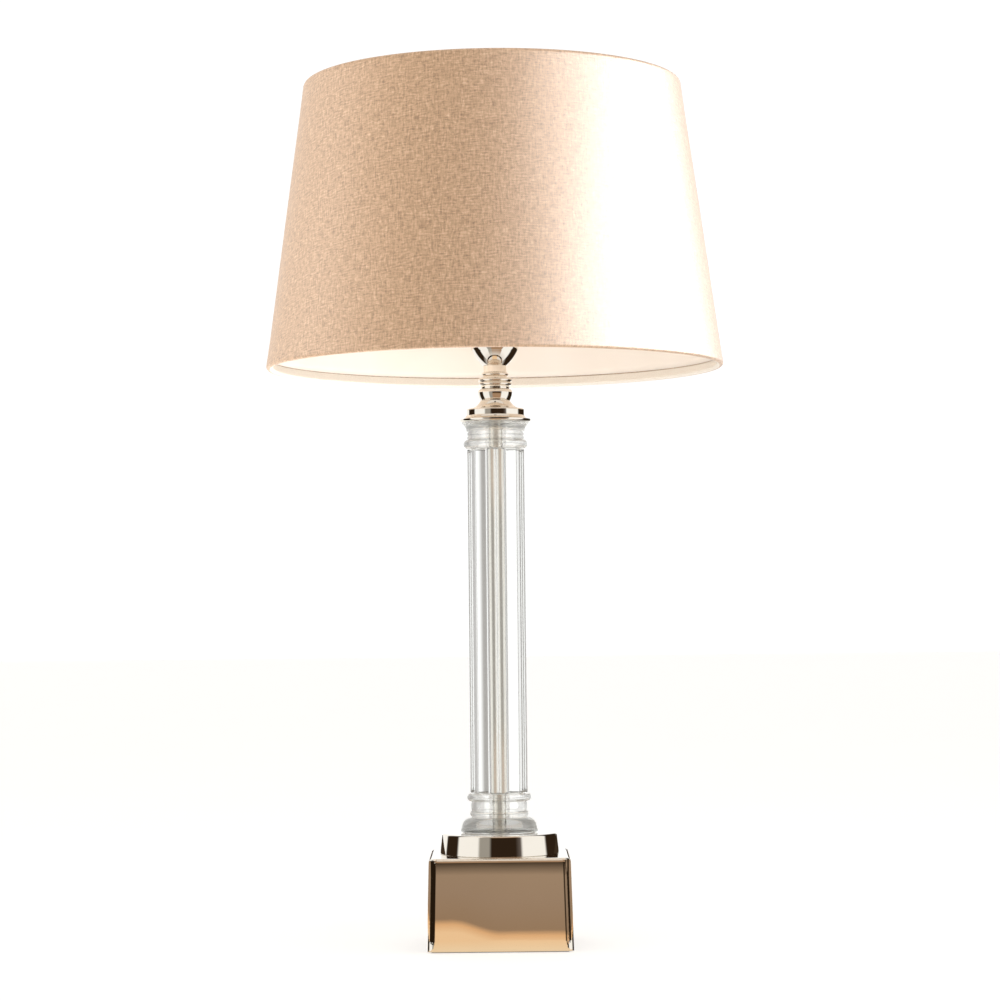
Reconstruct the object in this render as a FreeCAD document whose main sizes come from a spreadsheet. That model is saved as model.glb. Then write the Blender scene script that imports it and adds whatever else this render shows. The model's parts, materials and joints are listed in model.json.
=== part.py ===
"""Candlestick table lamp: nickel block and plinth, fluted glass column, turned neck, linen shade.

Millimetres, +Z up. The origin is the middle of the underside, on the surface that the lamp stands on.
The front, where the switch knob is, faces -Y and the cord outlet is in the rear wall, at +Y.
"""

import FreeCAD, Part
import Sketcher
import math
import os
import re

# Driving dimensions: one cell of the sheet each. Radii end in _r, heights in _h, thicknesses in _t.
SIZES = {
    # square block and what closes it
    "block_top_w": 121.8,
    "block_h": 79.0,
    "block_draft": 1.5,
    "block_wall": 3.0,
    "block_corner_r": 7.0,
    "block_top_r": 4.0,
    "felt_t": 2.0,
    "felt_show": 1.0,
    "felt_corner_r": 3.0,
    "plate_t": 2.0,
    "plate_gap": 0.3,
    "post_r": 5.0,
    "post_bite": 0.8,
    "plate_screw_r": 2.0,
    "plate_screw_head_r": 3.8,
    "plate_screw_l": 14.0,
    "screw_gap": 0.1,
    "ballast_r": 53.0,
    "ballast_h": 24.0,
    # tie rod and its fastenings
    "tube_r": 5.0,
    "tube_bore_r": 3.5,
    "tube_gap": 0.3,
    "tube_tail": 5.0,
    "tube_head": 9.0,
    "washer_r": 12.0,
    "washer_t": 1.6,
    "nut_flats": 17.0,
    "nut_h": 6.0,
    "cup_nut_h": 3.5,
    "thread_gap": 0.1,
    # cord outlet in the rear wall
    "outlet_z": 16.0,
    "bush_bore_r": 3.3,
    "bush_r": 5.5,
    "bush_flange_r": 7.8,
    "bush_flange_t": 2.5,
    "bush_flange_curve_r": 3.75,
    "bush_grip_t": 2.0,
    "bush_grip_lip": 1.2,
    "bush_gap": 0.2,
    # round plinth
    "plinth_bottom_r": 52.0,
    "plinth_top_r": 50.1,
    "plinth_h": 18.0,
    "plinth_wall": 3.5,
    "plinth_boss_r": 13.0,
    "plinth_edge_r": 1.6,
    # glass pieces, their gaskets and the sleeve in their bores
    "gasket_t": 0.6,
    "gasket_r": 21.0,
    "foot_gasket_r": 31.0,
    "sleeve_r": 6.0,
    "sleeve_wall": 0.8,
    "sleeve_gap": 0.3,
    "foot_r": 34.0,
    "foot_lean": 1.4,
    "foot_lip": 1.0,
    "foot_wall_h": 6.0,
    "foot_shoulder_r": 8.0,
    "foot_shoulder_h": 12.6,
    "glass_neck_r": 24.4,
    "glass_quirk": 0.9,
    "foot_ring_h": 5.0,
    "foot_ring_r": 3.0,
    "foot_band_h": 8.7,
    "foot_band_r": 12.0,
    "foot_bead_h": 6.6,
    "foot_bead_r": 3.4,
    "bead_step": 1.2,
    "shaft_r": 25.0,
    "shaft_h": 301.0,
    "flutes": 8,
    "flute_sag": 0.8,
    "collar_bead_h": 8.0,
    "collar_bead_r": 4.1,
    "collar_ring_h": 3.3,
    "collar_ring_r": 2.4,
    "collar_cove_h": 7.1,
    "collar_cove_r": 9.0,
    "collar_top_r": 30.0,
    # nickel cap flange
    "flange_seat_r": 29.4,
    "brim_r": 31.2,
    "brim_t": 2.6,
    "brim_edge_h": 1.4,
    "brim_curve_r": 1.96,
    "flange_neck_r": 25.6,
    "flange_cove_h": 3.4,
    "flange_cove_r": 7.0,
    "flange_band_h": 4.6,
    "flange_shoulder": 1.2,
    "trumpet_r": 14.0,
    "trumpet_h": 7.4,
    "trumpet_top_r": 13.0,
    # turned neck
    "bulb_low_h": 7.2,
    "bulb_belly_r": 15.2,
    "bulb_low_curve_r": 18.0,
    "bulb_high_h": 3.0,
    "bulb_high_curve_r": 3.6,
    "bulb_top_r": 13.2,
    "ring_groove_r": 12.6,
    "ring_groove_h": 3.0,
    "ring_bead_h": 3.4,
    "ring_bead_r": 1.85,
    "ring_low_r": 13.4,
    "ring_high_r": 13.8,
    "spool_r": 10.1,
    "spool_collar_r": 10.8,
    "spool_step_h": 1.4,
    "spool_fall": 0.4,
    "spool_bead_h": 3.6,
    "spool_bead_r": 1.85,
    "spool_waist_h": 5.9,
    # candle cup
    "cup_foot_r": 10.3,
    "cup_bowl_h": 12.4,
    "cup_bowl_r": 19.8,
    "cup_bowl_curve_r": 40.0,
    "cup_turn_h": 4.6,
    "cup_turn_r": 9.0,
    "cup_rim_r": 21.0,
    "cup_rim_h": 5.0,
    "cup_wall": 1.5,
    "cup_floor_t": 3.0,
    "cup_floor_r": 13.0,
    # lampholder
    "holder_cap_h": 17.4,
    "holder_cap_r": 16.4,
    "holder_cap_foot_r": 9.5,
    "holder_cap_wall": 0.7,
    "holder_dome_h": 9.0,
    "holder_dome_r": 12.0,
    "holder_hub_r": 7.4,
    "holder_hub_h": 10.0,
    "holder_gap": 0.3,
    "shell_wall": 0.5,
    "shell_lap": 8.0,
    "shell_h": 50.0,
    "shell_rim_h": 2.0,
    "shell_rim_r": 1.1,
    "liner_t": 0.5,
    "liner_gap": 0.1,
    "liner_inset": 1.5,
    "body_h": 24.0,
    "body_gap": 0.2,
    "body_lift": 2.0,
    "screw_shell_t": 0.5,
    "screw_shell_h": 22.0,
    "screw_shell_flange_r": 9.0,
    "contact_t": 0.6,
    "contact_w": 5.0,
    "contact_l": 7.0,
    "contact_rise": 2.6,
    "terminal_r": 1.5,
    "terminal_l": 4.0,
    "terminal_head_r": 3.0,
    "terminal_head_t": 1.8,
    "terminal_flat": 3.2,
    "terminal_flat_h": 8.0,
    "terminal_rise": 8.0,
    # turn switch
    "spindle_r": 2.4,
    "spindle_fit": 0.05,
    "spindle_in": 10.0,
    "spindle_out": 14.0,
    "spindle_rise": 14.0,
    "spindle_window": 1.2,
    "knob_r": 4.6,
    "knob_l": 16.0,
    "knob_gap": 2.2,
    "knob_grip": 12.0,
    "knob_edge_r": 1.0,
    "knob_flute_r": 0.6,
    "knob_flutes": 12,
    # harp and its saddle
    "saddle_t": 1.2,
    "saddle_w": 8.0,
    "saddle_eye_r": 9.5,
    "saddle_foot_x": 13.5,
    "saddle_rise": 8.5,
    "saddle_waist_x": 17.7,
    "saddle_waist_h": 16.5,
    "saddle_bend_r": 2.2,
    "saddle_spread_h": 28.0,
    "saddle_top_h": 32.0,
    "pin_h": 10.0,
    "pin_root": 4.0,
    "harp_x": 27.5,
    "harp_wire_r": 2.0,
    "harp_h": 193.6,
    "harp_shoulder_x": 69.0,
    "harp_waist_drop": 145.0,
    "harp_bend_r": 46.0,
    "harp_waist_r": 60.0,
    "joint_gap": 0.3,
    "sleeve_nut_h": 14.0,
    "sleeve_nut_wall": 1.2,
    "sleeve_nut_fit": 0.08,
    "stud_block_r": 5.6,
    "stud_block_h": 10.0,
    "stud_r": 3.1,
    "stud_l": 16.0,
    "stud_fit": 0.05,
    # shade
    "shade_bottom_r": 201.4,
    "shade_top_r": 166.5,
    "shade_h": 252.5,
    "cover_t": 0.8,
    "hem_h": 7.0,
    "ring_wire_r": 2.0,
    "ring_gap": 0.2,
    "liner_sheet_t": 0.6,
    "liner_sheet_gap": 0.1,
    "liner_sheet_inset": 0.6,
    "hub_r": 13.0,
    "hub_t": 2.0,
    "hub_gap": 0.3,
    "arm_r": 1.6,
    "arm_drop": 13.3,
    "arms": 3,
    # finial nut
    "finial_foot_r": 8.0,
    "finial_foot_h": 3.0,
    "finial_foot_curve_r": 2.0,
    "finial_waist_r": 4.8,
    "finial_waist_h": 4.0,
    "finial_cove_r": 5.0,
    "finial_ball_r": 8.0,
    "finial_room": 1.4,
    # bulb
    "bulb_r": 22.5,
    "bulb_l": 80.0,
    "bulb_wall": 1.0,
    "bulb_flare": 50.0,
    "bulb_flare_r": 70.0,
    "bulb_neck_h": 8.0,
    "bulb_neck_gap": 0.1,
    "bulb_neck_rise": 10.0,
    "bulb_cap_r": 13.2,
    "bulb_cap_h": 21.0,
    "bulb_cap_wall": 0.5,
    "bulb_cap_slope_h": 2.2,
    "bulb_tip_r": 5.0,
    "bulb_tip_h": 4.5,
    "bulb_tip_top_r": 11.0,
    "bulb_gap": 0.3,
}

# Heights above the table and other sizes that follow from the driving ones.
DERIVED = {
    "block_bottom_w": "block_top_w + 2 * block_h * tan(block_draft)",
    "plate_level": "felt_t",
    "plate_top": "plate_level + plate_t",
    "cavity_half": "block_bottom_w / 2 - block_wall / cos(block_draft)"
                   " - (plate_top - felt_show) * tan(block_draft)",
    "plate_half": "cavity_half - plate_gap",
    "post_at": "cavity_half - post_r + post_bite",
    "block_top": "felt_show + block_h",
    "block_ceiling": "block_top - block_wall",
    "rod_clear_r": "tube_r + tube_gap",
    "thread_r": "tube_r + thread_gap",
    "ballast_level": "block_ceiling - ballast_h",
    "washer_level": "ballast_level - washer_t",
    "nut_level": "washer_level - nut_h",
    "tube_bottom": "nut_level - tube_tail",
    "outlet_y": "block_bottom_w / 2 - (outlet_z - felt_show) * tan(block_draft)",
    "plinth_top": "block_top + plinth_h",
    "glass_bore_r": "sleeve_r + sleeve_gap",
    "glass_foot_level": "plinth_top + gasket_t",
    "glass_foot_h": "foot_shoulder_h + glass_quirk + foot_ring_h + foot_band_h + foot_bead_h",
    "shaft_level": "glass_foot_level + glass_foot_h + gasket_t",
    "collar_level": "shaft_level + shaft_h + gasket_t",
    "collar_h": "collar_bead_h + 2 * collar_ring_h + glass_quirk + collar_cove_h",
    "flange_level": "collar_level + collar_h + gasket_t",
    "flange_band_top": "brim_t + flange_cove_h + flange_band_h",
    "flange_h": "flange_band_top + flange_shoulder + trumpet_h",
    "neck_bulb_level": "flange_level + flange_h",
    "neck_ring_level": "neck_bulb_level + bulb_low_h + bulb_high_h",
    "neck_spool_level": "neck_ring_level + ring_groove_h + 2 * ring_bead_h",
    "spool_h": "spool_step_h + spool_bead_h + spool_waist_h",
    "cup_level": "neck_spool_level + spool_h",
    "cup_nut_level": "cup_level + cup_floor_t",
    "saddle_level": "cup_nut_level + cup_nut_h",
    "holder_level": "saddle_level + saddle_t",
    "tube_top": "holder_level + tube_head",
    "shell_r": "holder_cap_r - holder_cap_wall - holder_gap",
    "shell_level": "holder_level + holder_cap_h - shell_lap",
    "liner_r": "shell_r - shell_wall - liner_gap",
    "liner_level": "shell_level + liner_inset",
    "liner_h": "shell_h - 2 * liner_inset",
    "holder_body_r": "liner_r - liner_t - body_gap",
    "holder_body_level": "shell_level + body_lift",
    "holder_body_top": "holder_body_level + body_h",
    "screw_shell_r": "holder_body_r",
    "spindle_z": "holder_body_level + spindle_rise",
    "contact_top": "holder_body_top + contact_rise + contact_t",
    "bulb_level": "contact_top + bulb_gap",
    "bulb_cap_level": "bulb_level + bulb_tip_h",
    "bulb_glass_level": "bulb_cap_level + bulb_cap_h - bulb_neck_h",
    "bulb_glass_h": "bulb_l - bulb_tip_h - bulb_cap_h + bulb_neck_h",
    "bulb_neck_r": "bulb_cap_r - bulb_cap_wall - bulb_neck_gap",
    "saddle_shoulder": "saddle_level + saddle_top_h",
    "pin_top": "saddle_shoulder + pin_h",
    "harp_foot": "pin_top + joint_gap",
    "stud_seat": "saddle_shoulder + harp_h",
    "harp_top": "stud_seat - stud_block_h / 2",
    "hub_level": "stud_seat + hub_gap",
    "finial_level": "hub_level + hub_t + hub_gap",
    "finial_ball_h": "sqrt(finial_ball_r ^ 2 - finial_waist_r ^ 2) + finial_ball_r",
    "arm_level": "hub_level + hub_t / 2",
    "top_ring_level": "arm_level + arm_drop",
    "hem_depth": "2 * cover_t + 2 * ring_wire_r + 2 * ring_gap",
    "ring_inset": "cover_t + ring_gap + ring_wire_r",
    "shade_level": "top_ring_level + ring_inset - shade_h",
    "shade_slope": "(shade_bottom_r - shade_top_r) / shade_h",
    "top_ring_r": "shade_top_r - ring_inset + shade_slope * ring_inset",
    "bottom_ring_r": "shade_bottom_r - ring_inset - shade_slope * ring_inset",
}

SHEET = "Sizes"
BULGE = 1
COVE = -1
WORD = re.compile(r"[a-z][a-z0-9_]*")
X_AXIS = FreeCAD.Vector(1, 0, 0)
Y_AXIS = FreeCAD.Vector(0, 1, 0)
Z_AXIS = FreeCAD.Vector(0, 0, 1)

document = FreeCAD.newDocument("candlestick_lamp")
sheet = document.addObject("Spreadsheet::Sheet", SHEET)
for row, (alias, value) in enumerate(SIZES.items(), start=1):
    sheet.set(f"A{row}", alias)
    sheet.set(f"B{row}", str(value))
    sheet.setAlias(f"B{row}", alias)
document.recompute()


def formula(text):
    """Spells out the derived sizes in a formula and points its size names at the sheet's cells."""

    def spell(match):
        word = match.group(0)
        if word in DERIVED:
            return f"({formula(DERIVED[word])})"
        return f"{SHEET}.{word}" if word in SIZES else word

    return WORD.sub(spell, text)


def number(text):
    """The value of a formula, in millimetres or degrees."""
    found = sheet.evalExpression(formula(text))
    return float(getattr(found, "Value", found))


def bind(thing, **bindings):
    """Binds properties to formulas; two underscores in a name stand for a dot."""
    for name, text in bindings.items():
        thing.setExpression(name.replace("__", "."), formula(text))


def place(piece, x="0", y="0", z="0"):
    """Binds the position of a piece to formulas."""
    bind(piece, Placement__Base__x=x, Placement__Base__y=y, Placement__Base__z=z)


# ---- sketches and features -------------------------------------------------------------------------


def new_body(label, z="0", x="0", y="0"):
    body = document.addObject("PartDesign::Body", label)
    body.Label = label
    place(body, x, y, z)
    return body


def new_sketch(body, name, plane="XY_Plane", lift="0"):
    """A sketch on one of the body's own planes, raised along the plane's normal by a formula."""
    sketch = body.newObject("Sketcher::SketchObject", name)
    support = next(item for item in body.Origin.OriginFeatures if item.Role == plane)
    sketch.AttachmentSupport = [(support, "")]
    sketch.MapMode = "FlatFace"
    bind(sketch, AttachmentOffset__Base__z=lift)
    return sketch


def constrain(sketch, text, kind, *where):
    """Adds a dimension whose value is a formula."""
    index = sketch.addConstraint(Sketcher.Constraint(kind, *where, number(text)))
    sketch.setExpression(f"Constraints[{index}]", formula(text))


def pin_point(sketch, edge, end, across, up):
    """Fixes one point of a sketch; a coordinate of "0" puts it on the sketch's axis."""
    if across == "0":
        sketch.addConstraint(Sketcher.Constraint("PointOnObject", edge, end, -2))
    else:
        constrain(sketch, across, "DistanceX", -1, 1, edge, end)
    if up == "0":
        sketch.addConstraint(Sketcher.Constraint("PointOnObject", edge, end, -1))
    else:
        constrain(sketch, up, "DistanceY", -1, 1, edge, end)


def arc_edge(start, end, radius, way):
    """The short arc from start to end that bulges (way 1) to the right of the travel, or coves (-1)."""
    chord = end - start
    half = chord.Length / 2
    left = FreeCAD.Vector(-chord.y, chord.x, 0).normalize()
    centre = (start + end) / 2 + left * way * math.sqrt(radius * radius - half * half)
    first, last = (start, end) if way == BULGE else (end, start)
    turn_from = math.atan2(first.y - centre.y, first.x - centre.x)
    turn_to = math.atan2(last.y - centre.y, last.x - centre.x)
    return Part.ArcOfCircle(Part.Circle(centre, Z_AXIS, radius), turn_from, turn_to)


def draw_outline(sketch, corners):
    """Closes an outline. A corner is (across, up), or (across, up, way, radius) where an arc leaves it."""
    points = [FreeCAD.Vector(number(corner[0]), number(corner[1]), 0) for corner in corners]
    ends = []
    for index, corner in enumerate(corners):
        start = points[index]
        end = points[(index + 1) % len(points)]
        if len(corner) == 2:
            edge = sketch.addGeometry(Part.LineSegment(start, end))
            ends.append((edge, 1, 2))
            continue
        way, radius = corner[2:]
        edge = sketch.addGeometry(arc_edge(start, end, number(radius), way))
        ends.append((edge, 1, 2) if way == BULGE else (edge, 2, 1))
        constrain(sketch, radius, "Radius", edge)
    for index, (edge, start, _) in enumerate(ends):
        before, _, before_end = ends[index - 1]
        sketch.addConstraint(Sketcher.Constraint("Coincident", before, before_end, edge, start))
        pin_point(sketch, edge, start, corners[index][0], corners[index][1])


def draw_circle(sketch, radius, across="0", up="0"):
    centre = FreeCAD.Vector(number(across), number(up), 0)
    edge = sketch.addGeometry(Part.Circle(centre, Z_AXIS, number(radius)))
    pin_point(sketch, edge, 3, across, up)
    constrain(sketch, radius, "Radius", edge)


def pad(body, sketch, length, **more):
    feature = body.newObject("PartDesign::Pad", sketch.Name + "_pad")
    feature.Profile = sketch
    bind(feature, Length=length, **more)
    document.recompute()
    return feature


def pocket(body, sketch, depth=None, forward=True):
    """Cuts a sketch out of a body along the sketch's normal, or against it; all through if no depth."""
    before = body.Shape.Volume
    feature = body.newObject("PartDesign::Pocket", sketch.Name + "_cut")
    feature.Profile = sketch
    feature.Reversed = forward
    if depth is None:
        feature.Type = "ThroughAll"
    else:
        bind(feature, Length=depth)
    document.recompute()
    check_cut(feature, before)
    return feature


def check_cut(feature, before):
    if not feature.Shape.Volume < before:
        raise RuntimeError(feature.Name + " cuts nothing")


def round_edges(body, base, radius, chosen):
    """Rounds the edges of the last feature that the test picks."""
    names = [f"Edge{index}" for index, edge in enumerate(base.Shape.Edges, start=1) if chosen(edge)]
    feature = body.newObject("PartDesign::Fillet", base.Name + "_round")
    feature.Base = (base, names)
    bind(feature, Radius=radius)
    document.recompute()
    return feature


def polar_copies(body, feature, sketch, count):
    copies = body.newObject("PartDesign::PolarPattern", feature.Name + "_copies")
    copies.Originals = [feature]
    copies.Axis = (sketch, ["N_Axis"])
    copies.Angle = 360
    bind(copies, Occurrences=count)
    body.Tip = copies
    document.recompute()
    return copies


def turned(label, level, corners):
    """A piece turned about its own Z axis from half of its section."""
    body = new_body(label, level)
    sketch = new_sketch(body, label + "_section", "XZ_Plane")
    draw_outline(sketch, corners)
    turn = body.newObject("PartDesign::Revolution", label + "_turn")
    turn.Profile = sketch
    turn.ReferenceAxis = (sketch, ["V_Axis"])
    turn.Angle = 360
    document.recompute()
    return body


def ring(label, level, outer, inner, height, x="0"):
    """A flat ring, washer or tube."""
    body = new_body(label, level, x)
    sketch = new_sketch(body, label + "_plan")
    draw_circle(sketch, outer)
    draw_circle(sketch, inner)
    pad(body, sketch, height)
    return body


def square_corners(half):
    """The corners of a square about the origin, whose half side is a formula."""
    plus = f"({half})"
    minus = f"-({half})"
    return [(minus, minus), (plus, minus), (plus, plus), (minus, plus)]


def upright(edge):
    """Whether an edge runs up a wall."""
    start, end = (vertex.Point for vertex in edge.Vertexes[:1] + edge.Vertexes[-1:])
    return abs(end.z - start.z) > 0.9 * (end - start).Length > 0


def four_ways():
    """The signs of the four corners of a square."""
    return [(across, along) for across in ("", "-") for along in ("", "-")]


# ---- plain solids and bent stock -------------------------------------------------------------------


def cylinder(name, radius, height, x="0", y="0", z="0", turn=None):
    solid = document.addObject("Part::Cylinder", name)
    bind(solid, Radius=radius, Height=height)
    if turn:
        solid.Placement = FreeCAD.Placement(FreeCAD.Vector(), FreeCAD.Rotation(*turn))
    place(solid, x, y, z)
    return solid


def joined(label, solids):
    """One node from several solids, which may stand apart."""
    fuse = document.addObject("Part::MultiFuse", label)
    fuse.Label = label
    fuse.Shapes = solids
    return fuse


def rounded_path(corners, radii):
    """A wire of straight runs joined by tangent arcs, one radius for each inner corner."""
    edges = []
    start = corners[0]
    for index, radius in enumerate(radii, start=1):
        corner = corners[index]
        back = (corners[index - 1] - corner).normalize()
        ahead = (corners[index + 1] - corner).normalize()
        half_turn = (math.pi - back.getAngle(ahead)) / 2
        reach = radius * math.tan(half_turn)
        middle = (back + ahead).normalize() * radius * (1 / math.cos(half_turn) - 1)
        first = corner + back * reach
        last = corner + ahead * reach
        edges.append(Part.LineSegment(start, first).toShape())
        edges.append(Part.Arc(first, corner + middle, last).toShape())
        start = last
    edges.append(Part.LineSegment(start, corners[-1]).toShape())
    return Part.Wire(edges)


def swept(path, profile):
    """A solid of one profile along a path."""
    solid = path.makePipeShell([profile], True, False)
    return solid if solid.Volume > 0 else solid.reversed()


def shaped(label, shape, x="0", y="0", z="0"):
    """A node whose form is set here because it is bent stock."""
    feature = document.addObject("Part::Feature", label)
    feature.Label = label
    feature.Shape = shape
    place(feature, x, y, z)
    return feature


def mirrored_path(right_half):
    """The points of a symmetric bend, from its left end to its right end, given its right half."""
    left_half = [FreeCAD.Vector(-point.x, 0, point.z) for point in reversed(right_half)]
    return left_half + right_half


def section_point(x, z):
    return FreeCAD.Vector(number(x), 0, number(z))


# ---- base ------------------------------------------------------------------------------------------


def felt_pad():
    body = new_body("felt_pad")
    plan = new_sketch(body, "felt_plan")
    draw_outline(plan, square_corners("plate_half"))
    sheet_pad = pad(body, plan, "felt_t")
    round_edges(body, sheet_pad, "felt_corner_r", upright)
    return body


def bottom_plate():
    """Steel plate with a countersunk hole under each post of the block."""
    body = new_body("bottom_plate", "plate_level")
    plan = new_sketch(body, "plate_plan")
    draw_outline(plan, square_corners("plate_half"))
    blank = pad(body, plan, "plate_t")
    round_edges(body, blank, "felt_corner_r", upright)
    for index, (across, along) in enumerate(four_ways()):
        before = body.Shape.Volume
        sink = body.newObject("PartDesign::SubtractiveCone", f"plate_sink_{index}")
        bind(sink, Radius1="plate_screw_head_r + screw_gap", Radius2="plate_screw_r + screw_gap",
             Height="plate_screw_head_r - plate_screw_r")
        place(sink, f"{across}post_at", f"{along}post_at")
        hole = body.newObject("PartDesign::SubtractiveCylinder", f"plate_hole_{index}")
        bind(hole, Radius="plate_screw_r + screw_gap", Height="plate_t")
        place(hole, f"{across}post_at", f"{along}post_at")
        document.recompute()
        check_cut(hole, before)
    return body


def plate_screws():
    solids = []
    for index, (across, along) in enumerate(four_ways()):
        head = document.addObject("Part::Cone", f"screw_head_{index}")
        bind(head, Radius1="plate_screw_head_r", Radius2="plate_screw_r",
             Height="plate_screw_head_r - plate_screw_r")
        place(head, f"{across}post_at", f"{along}post_at", "plate_level")
        shank = cylinder(f"screw_shank_{index}", "plate_screw_r", "plate_screw_l",
                         f"{across}post_at", f"{along}post_at", "plate_level")
        solids += [head, shank]
    return joined("plate_screws", solids)


def base_shell():
    """Open-bottomed block with drafted walls, screw posts in its corners and two holes."""
    body = new_body("base_shell", "felt_show")
    plan = new_sketch(body, "block_plan")
    draw_outline(plan, square_corners("block_bottom_w / 2"))
    block = pad(body, plan, "block_h", TaperAngle="-block_draft")
    hollow = body.newObject("PartDesign::Thickness", "block_hollow")
    bottom = min(range(len(block.Shape.Faces)), key=lambda face: block.Shape.Faces[face].CenterOfMass.z)
    hollow.Base = (block, [f"Face{bottom + 1}"])
    hollow.Mode = "Skin"
    hollow.Join = "Intersection"
    hollow.Reversed = True
    bind(hollow, Value="block_wall")
    document.recompute()
    check_cut(hollow, block.Shape.Volume)

    half_top = number("block_top_w") / 2
    reach = half_top * math.sqrt(2)

    def outer_corner(edge):
        return upright(edge) and math.hypot(edge.CenterOfMass.x, edge.CenterOfMass.y) > reach

    corners = round_edges(body, hollow, "block_corner_r", outer_corner)

    def top_rim(edge):
        return edge.BoundBox.ZMin > number("block_h - block_wall / 2")

    round_edges(body, corners, "block_top_r", top_rim)

    posts = new_sketch(body, "block_posts", lift="plate_top - felt_show")
    screw_holes = new_sketch(body, "block_screw_holes", lift="plate_top - felt_show")
    for across, along in four_ways():
        draw_circle(posts, "post_r", f"{across}post_at", f"{along}post_at")
        draw_circle(screw_holes, "plate_screw_r + screw_gap", f"{across}post_at", f"{along}post_at")
    pad(body, posts, "block_top - plate_top - block_wall / 2")
    pocket(body, screw_holes, "plate_screw_l")

    rod_hole = new_sketch(body, "block_rod_hole")
    draw_circle(rod_hole, "rod_clear_r")
    pocket(body, rod_hole)

    outlet = new_sketch(body, "block_outlet", "XZ_Plane")
    draw_circle(outlet, "bush_r + bush_gap", up="outlet_z - felt_show")
    pocket(body, outlet, forward=False)
    return body


def cord_bush():
    """Moulded bush, turned on the cord's axis: flange outside, barrel in the wall, grip ring inside."""
    wall = "block_wall + 2 * bush_gap"
    body = turned("cord_bush", "outlet_z", [
        ("bush_bore_r", "0"),
        ("bush_r + bush_grip_lip", "0"),
        ("bush_r + bush_grip_lip", "bush_grip_t"),
        ("bush_r", "bush_grip_t"),
        ("bush_r", f"bush_grip_t + {wall}"),
        ("bush_flange_r", f"bush_grip_t + {wall}", BULGE, "bush_flange_curve_r"),
        ("bush_r", f"bush_grip_t + {wall} + bush_flange_t"),
        ("bush_bore_r", f"bush_grip_t + {wall} + bush_flange_t"),
    ])
    body.Placement = FreeCAD.Placement(FreeCAD.Vector(), FreeCAD.Rotation(X_AXIS, -90))
    place(body, y="outlet_y - block_wall - bush_gap - bush_grip_t", z="outlet_z")
    return body


def hex_nut(label, level, height):
    body = new_body(label, level)
    prism = body.newObject("PartDesign::AdditivePrism", label + "_prism")
    prism.Polygon = 6
    bind(prism, Circumradius="nut_flats / 2 / cos(30)", Height=height)
    document.recompute()
    thread = new_sketch(body, label + "_thread")
    draw_circle(thread, "thread_r")
    pocket(body, thread)
    return body


def plinth_disc():
    """Round plinth, hollow below round its middle boss."""
    return turned("plinth_disc", "block_top", [
        ("rod_clear_r", "0"),
        ("plinth_boss_r", "0"),
        ("plinth_boss_r", "plinth_h - plinth_wall"),
        ("plinth_top_r - plinth_wall", "plinth_h - plinth_wall"),
        ("plinth_bottom_r - plinth_wall", "0"),
        ("plinth_bottom_r", "0"),
        ("plinth_top_r", "plinth_h - plinth_edge_r", BULGE, "plinth_edge_r"),
        ("plinth_top_r - plinth_edge_r", "plinth_h"),
        ("rod_clear_r", "plinth_h"),
    ])


# ---- glass column ----------------------------------------------------------------------------------


def bead(radius_at, low, height, curve):
    """The corner that starts a bead of the given height."""
    return [(radius_at, low, BULGE, curve), (radius_at, f"{low} + {height}")]


def glass_foot():
    """Turned foot: shouldered base, quirk, ring, band and the bead that carries the shaft."""
    ring_low = "foot_shoulder_h + glass_quirk"
    band_low = f"{ring_low} + foot_ring_h"
    bead_low = f"{band_low} + foot_band_h"
    return turned("glass_foot", "glass_foot_level", [
        ("glass_bore_r", "0"),
        ("foot_r - foot_lip", "0"),
        ("foot_r", "foot_lip"),
        ("foot_r - foot_lean", "foot_wall_h", BULGE, "foot_shoulder_r"),
        ("glass_neck_r + foot_lean", "foot_shoulder_h"),
        ("glass_neck_r - glass_quirk / 2", "foot_shoulder_h"),
        ("glass_neck_r - glass_quirk / 2", ring_low),
        *bead("glass_neck_r", ring_low, "foot_ring_h", "foot_ring_r"),
        *bead("glass_neck_r - glass_quirk / 2", band_low, "foot_band_h", "foot_band_r"),
        *bead("glass_neck_r + bead_step", bead_low, "foot_bead_h", "foot_bead_r"),
        ("glass_bore_r", "glass_foot_h"),
    ])


def glass_shaft():
    """Glass rod with a bore and broad hollow flutes, an arris facing the front."""
    body = new_body("glass_shaft", "shaft_level")
    plan = new_sketch(body, "shaft_plan")
    draw_circle(plan, "shaft_r")
    draw_circle(plan, "glass_bore_r")
    pad(body, plan, "shaft_h")
    half_chord = "shaft_r * sin(180 / flutes)"
    cutter = f"(({half_chord}) ^ 2 + flute_sag ^ 2) / (2 * flute_sag)"
    reach = f"(shaft_r * cos(180 / flutes) - flute_sag + {cutter})"
    flute = new_sketch(body, "shaft_flute")
    draw_circle(flute, cutter, f"{reach} * cos(180 / flutes - 90)", f"{reach} * sin(180 / flutes - 90)")
    first = pocket(body, flute)
    polar_copies(body, first, flute, "flutes")
    return body


def glass_collar():
    """Turned capital: bead on the shaft, two rings, quirk and a cove that opens under the flange."""
    ring_low = "collar_bead_h"
    ring_high = "collar_bead_h + collar_ring_h"
    quirk_low = "collar_bead_h + 2 * collar_ring_h"
    cove_low = f"{quirk_low} + glass_quirk"
    return turned("glass_collar", "collar_level", [
        ("glass_bore_r", "0"),
        *bead("glass_neck_r + bead_step / 2", "0", "collar_bead_h", "collar_bead_r"),
        ("glass_neck_r", ring_low, BULGE, "collar_ring_r"),
        *bead("glass_neck_r", ring_high, "collar_ring_h", "collar_ring_r"),
        ("glass_neck_r - glass_quirk / 2", quirk_low),
        ("glass_neck_r - glass_quirk / 2", cove_low),
        ("glass_neck_r + bead_step", cove_low, COVE, "collar_cove_r"),
        ("collar_top_r", "collar_h"),
        ("glass_bore_r", "collar_h"),
    ])


# ---- nickel neck and cup ---------------------------------------------------------------------------


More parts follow.
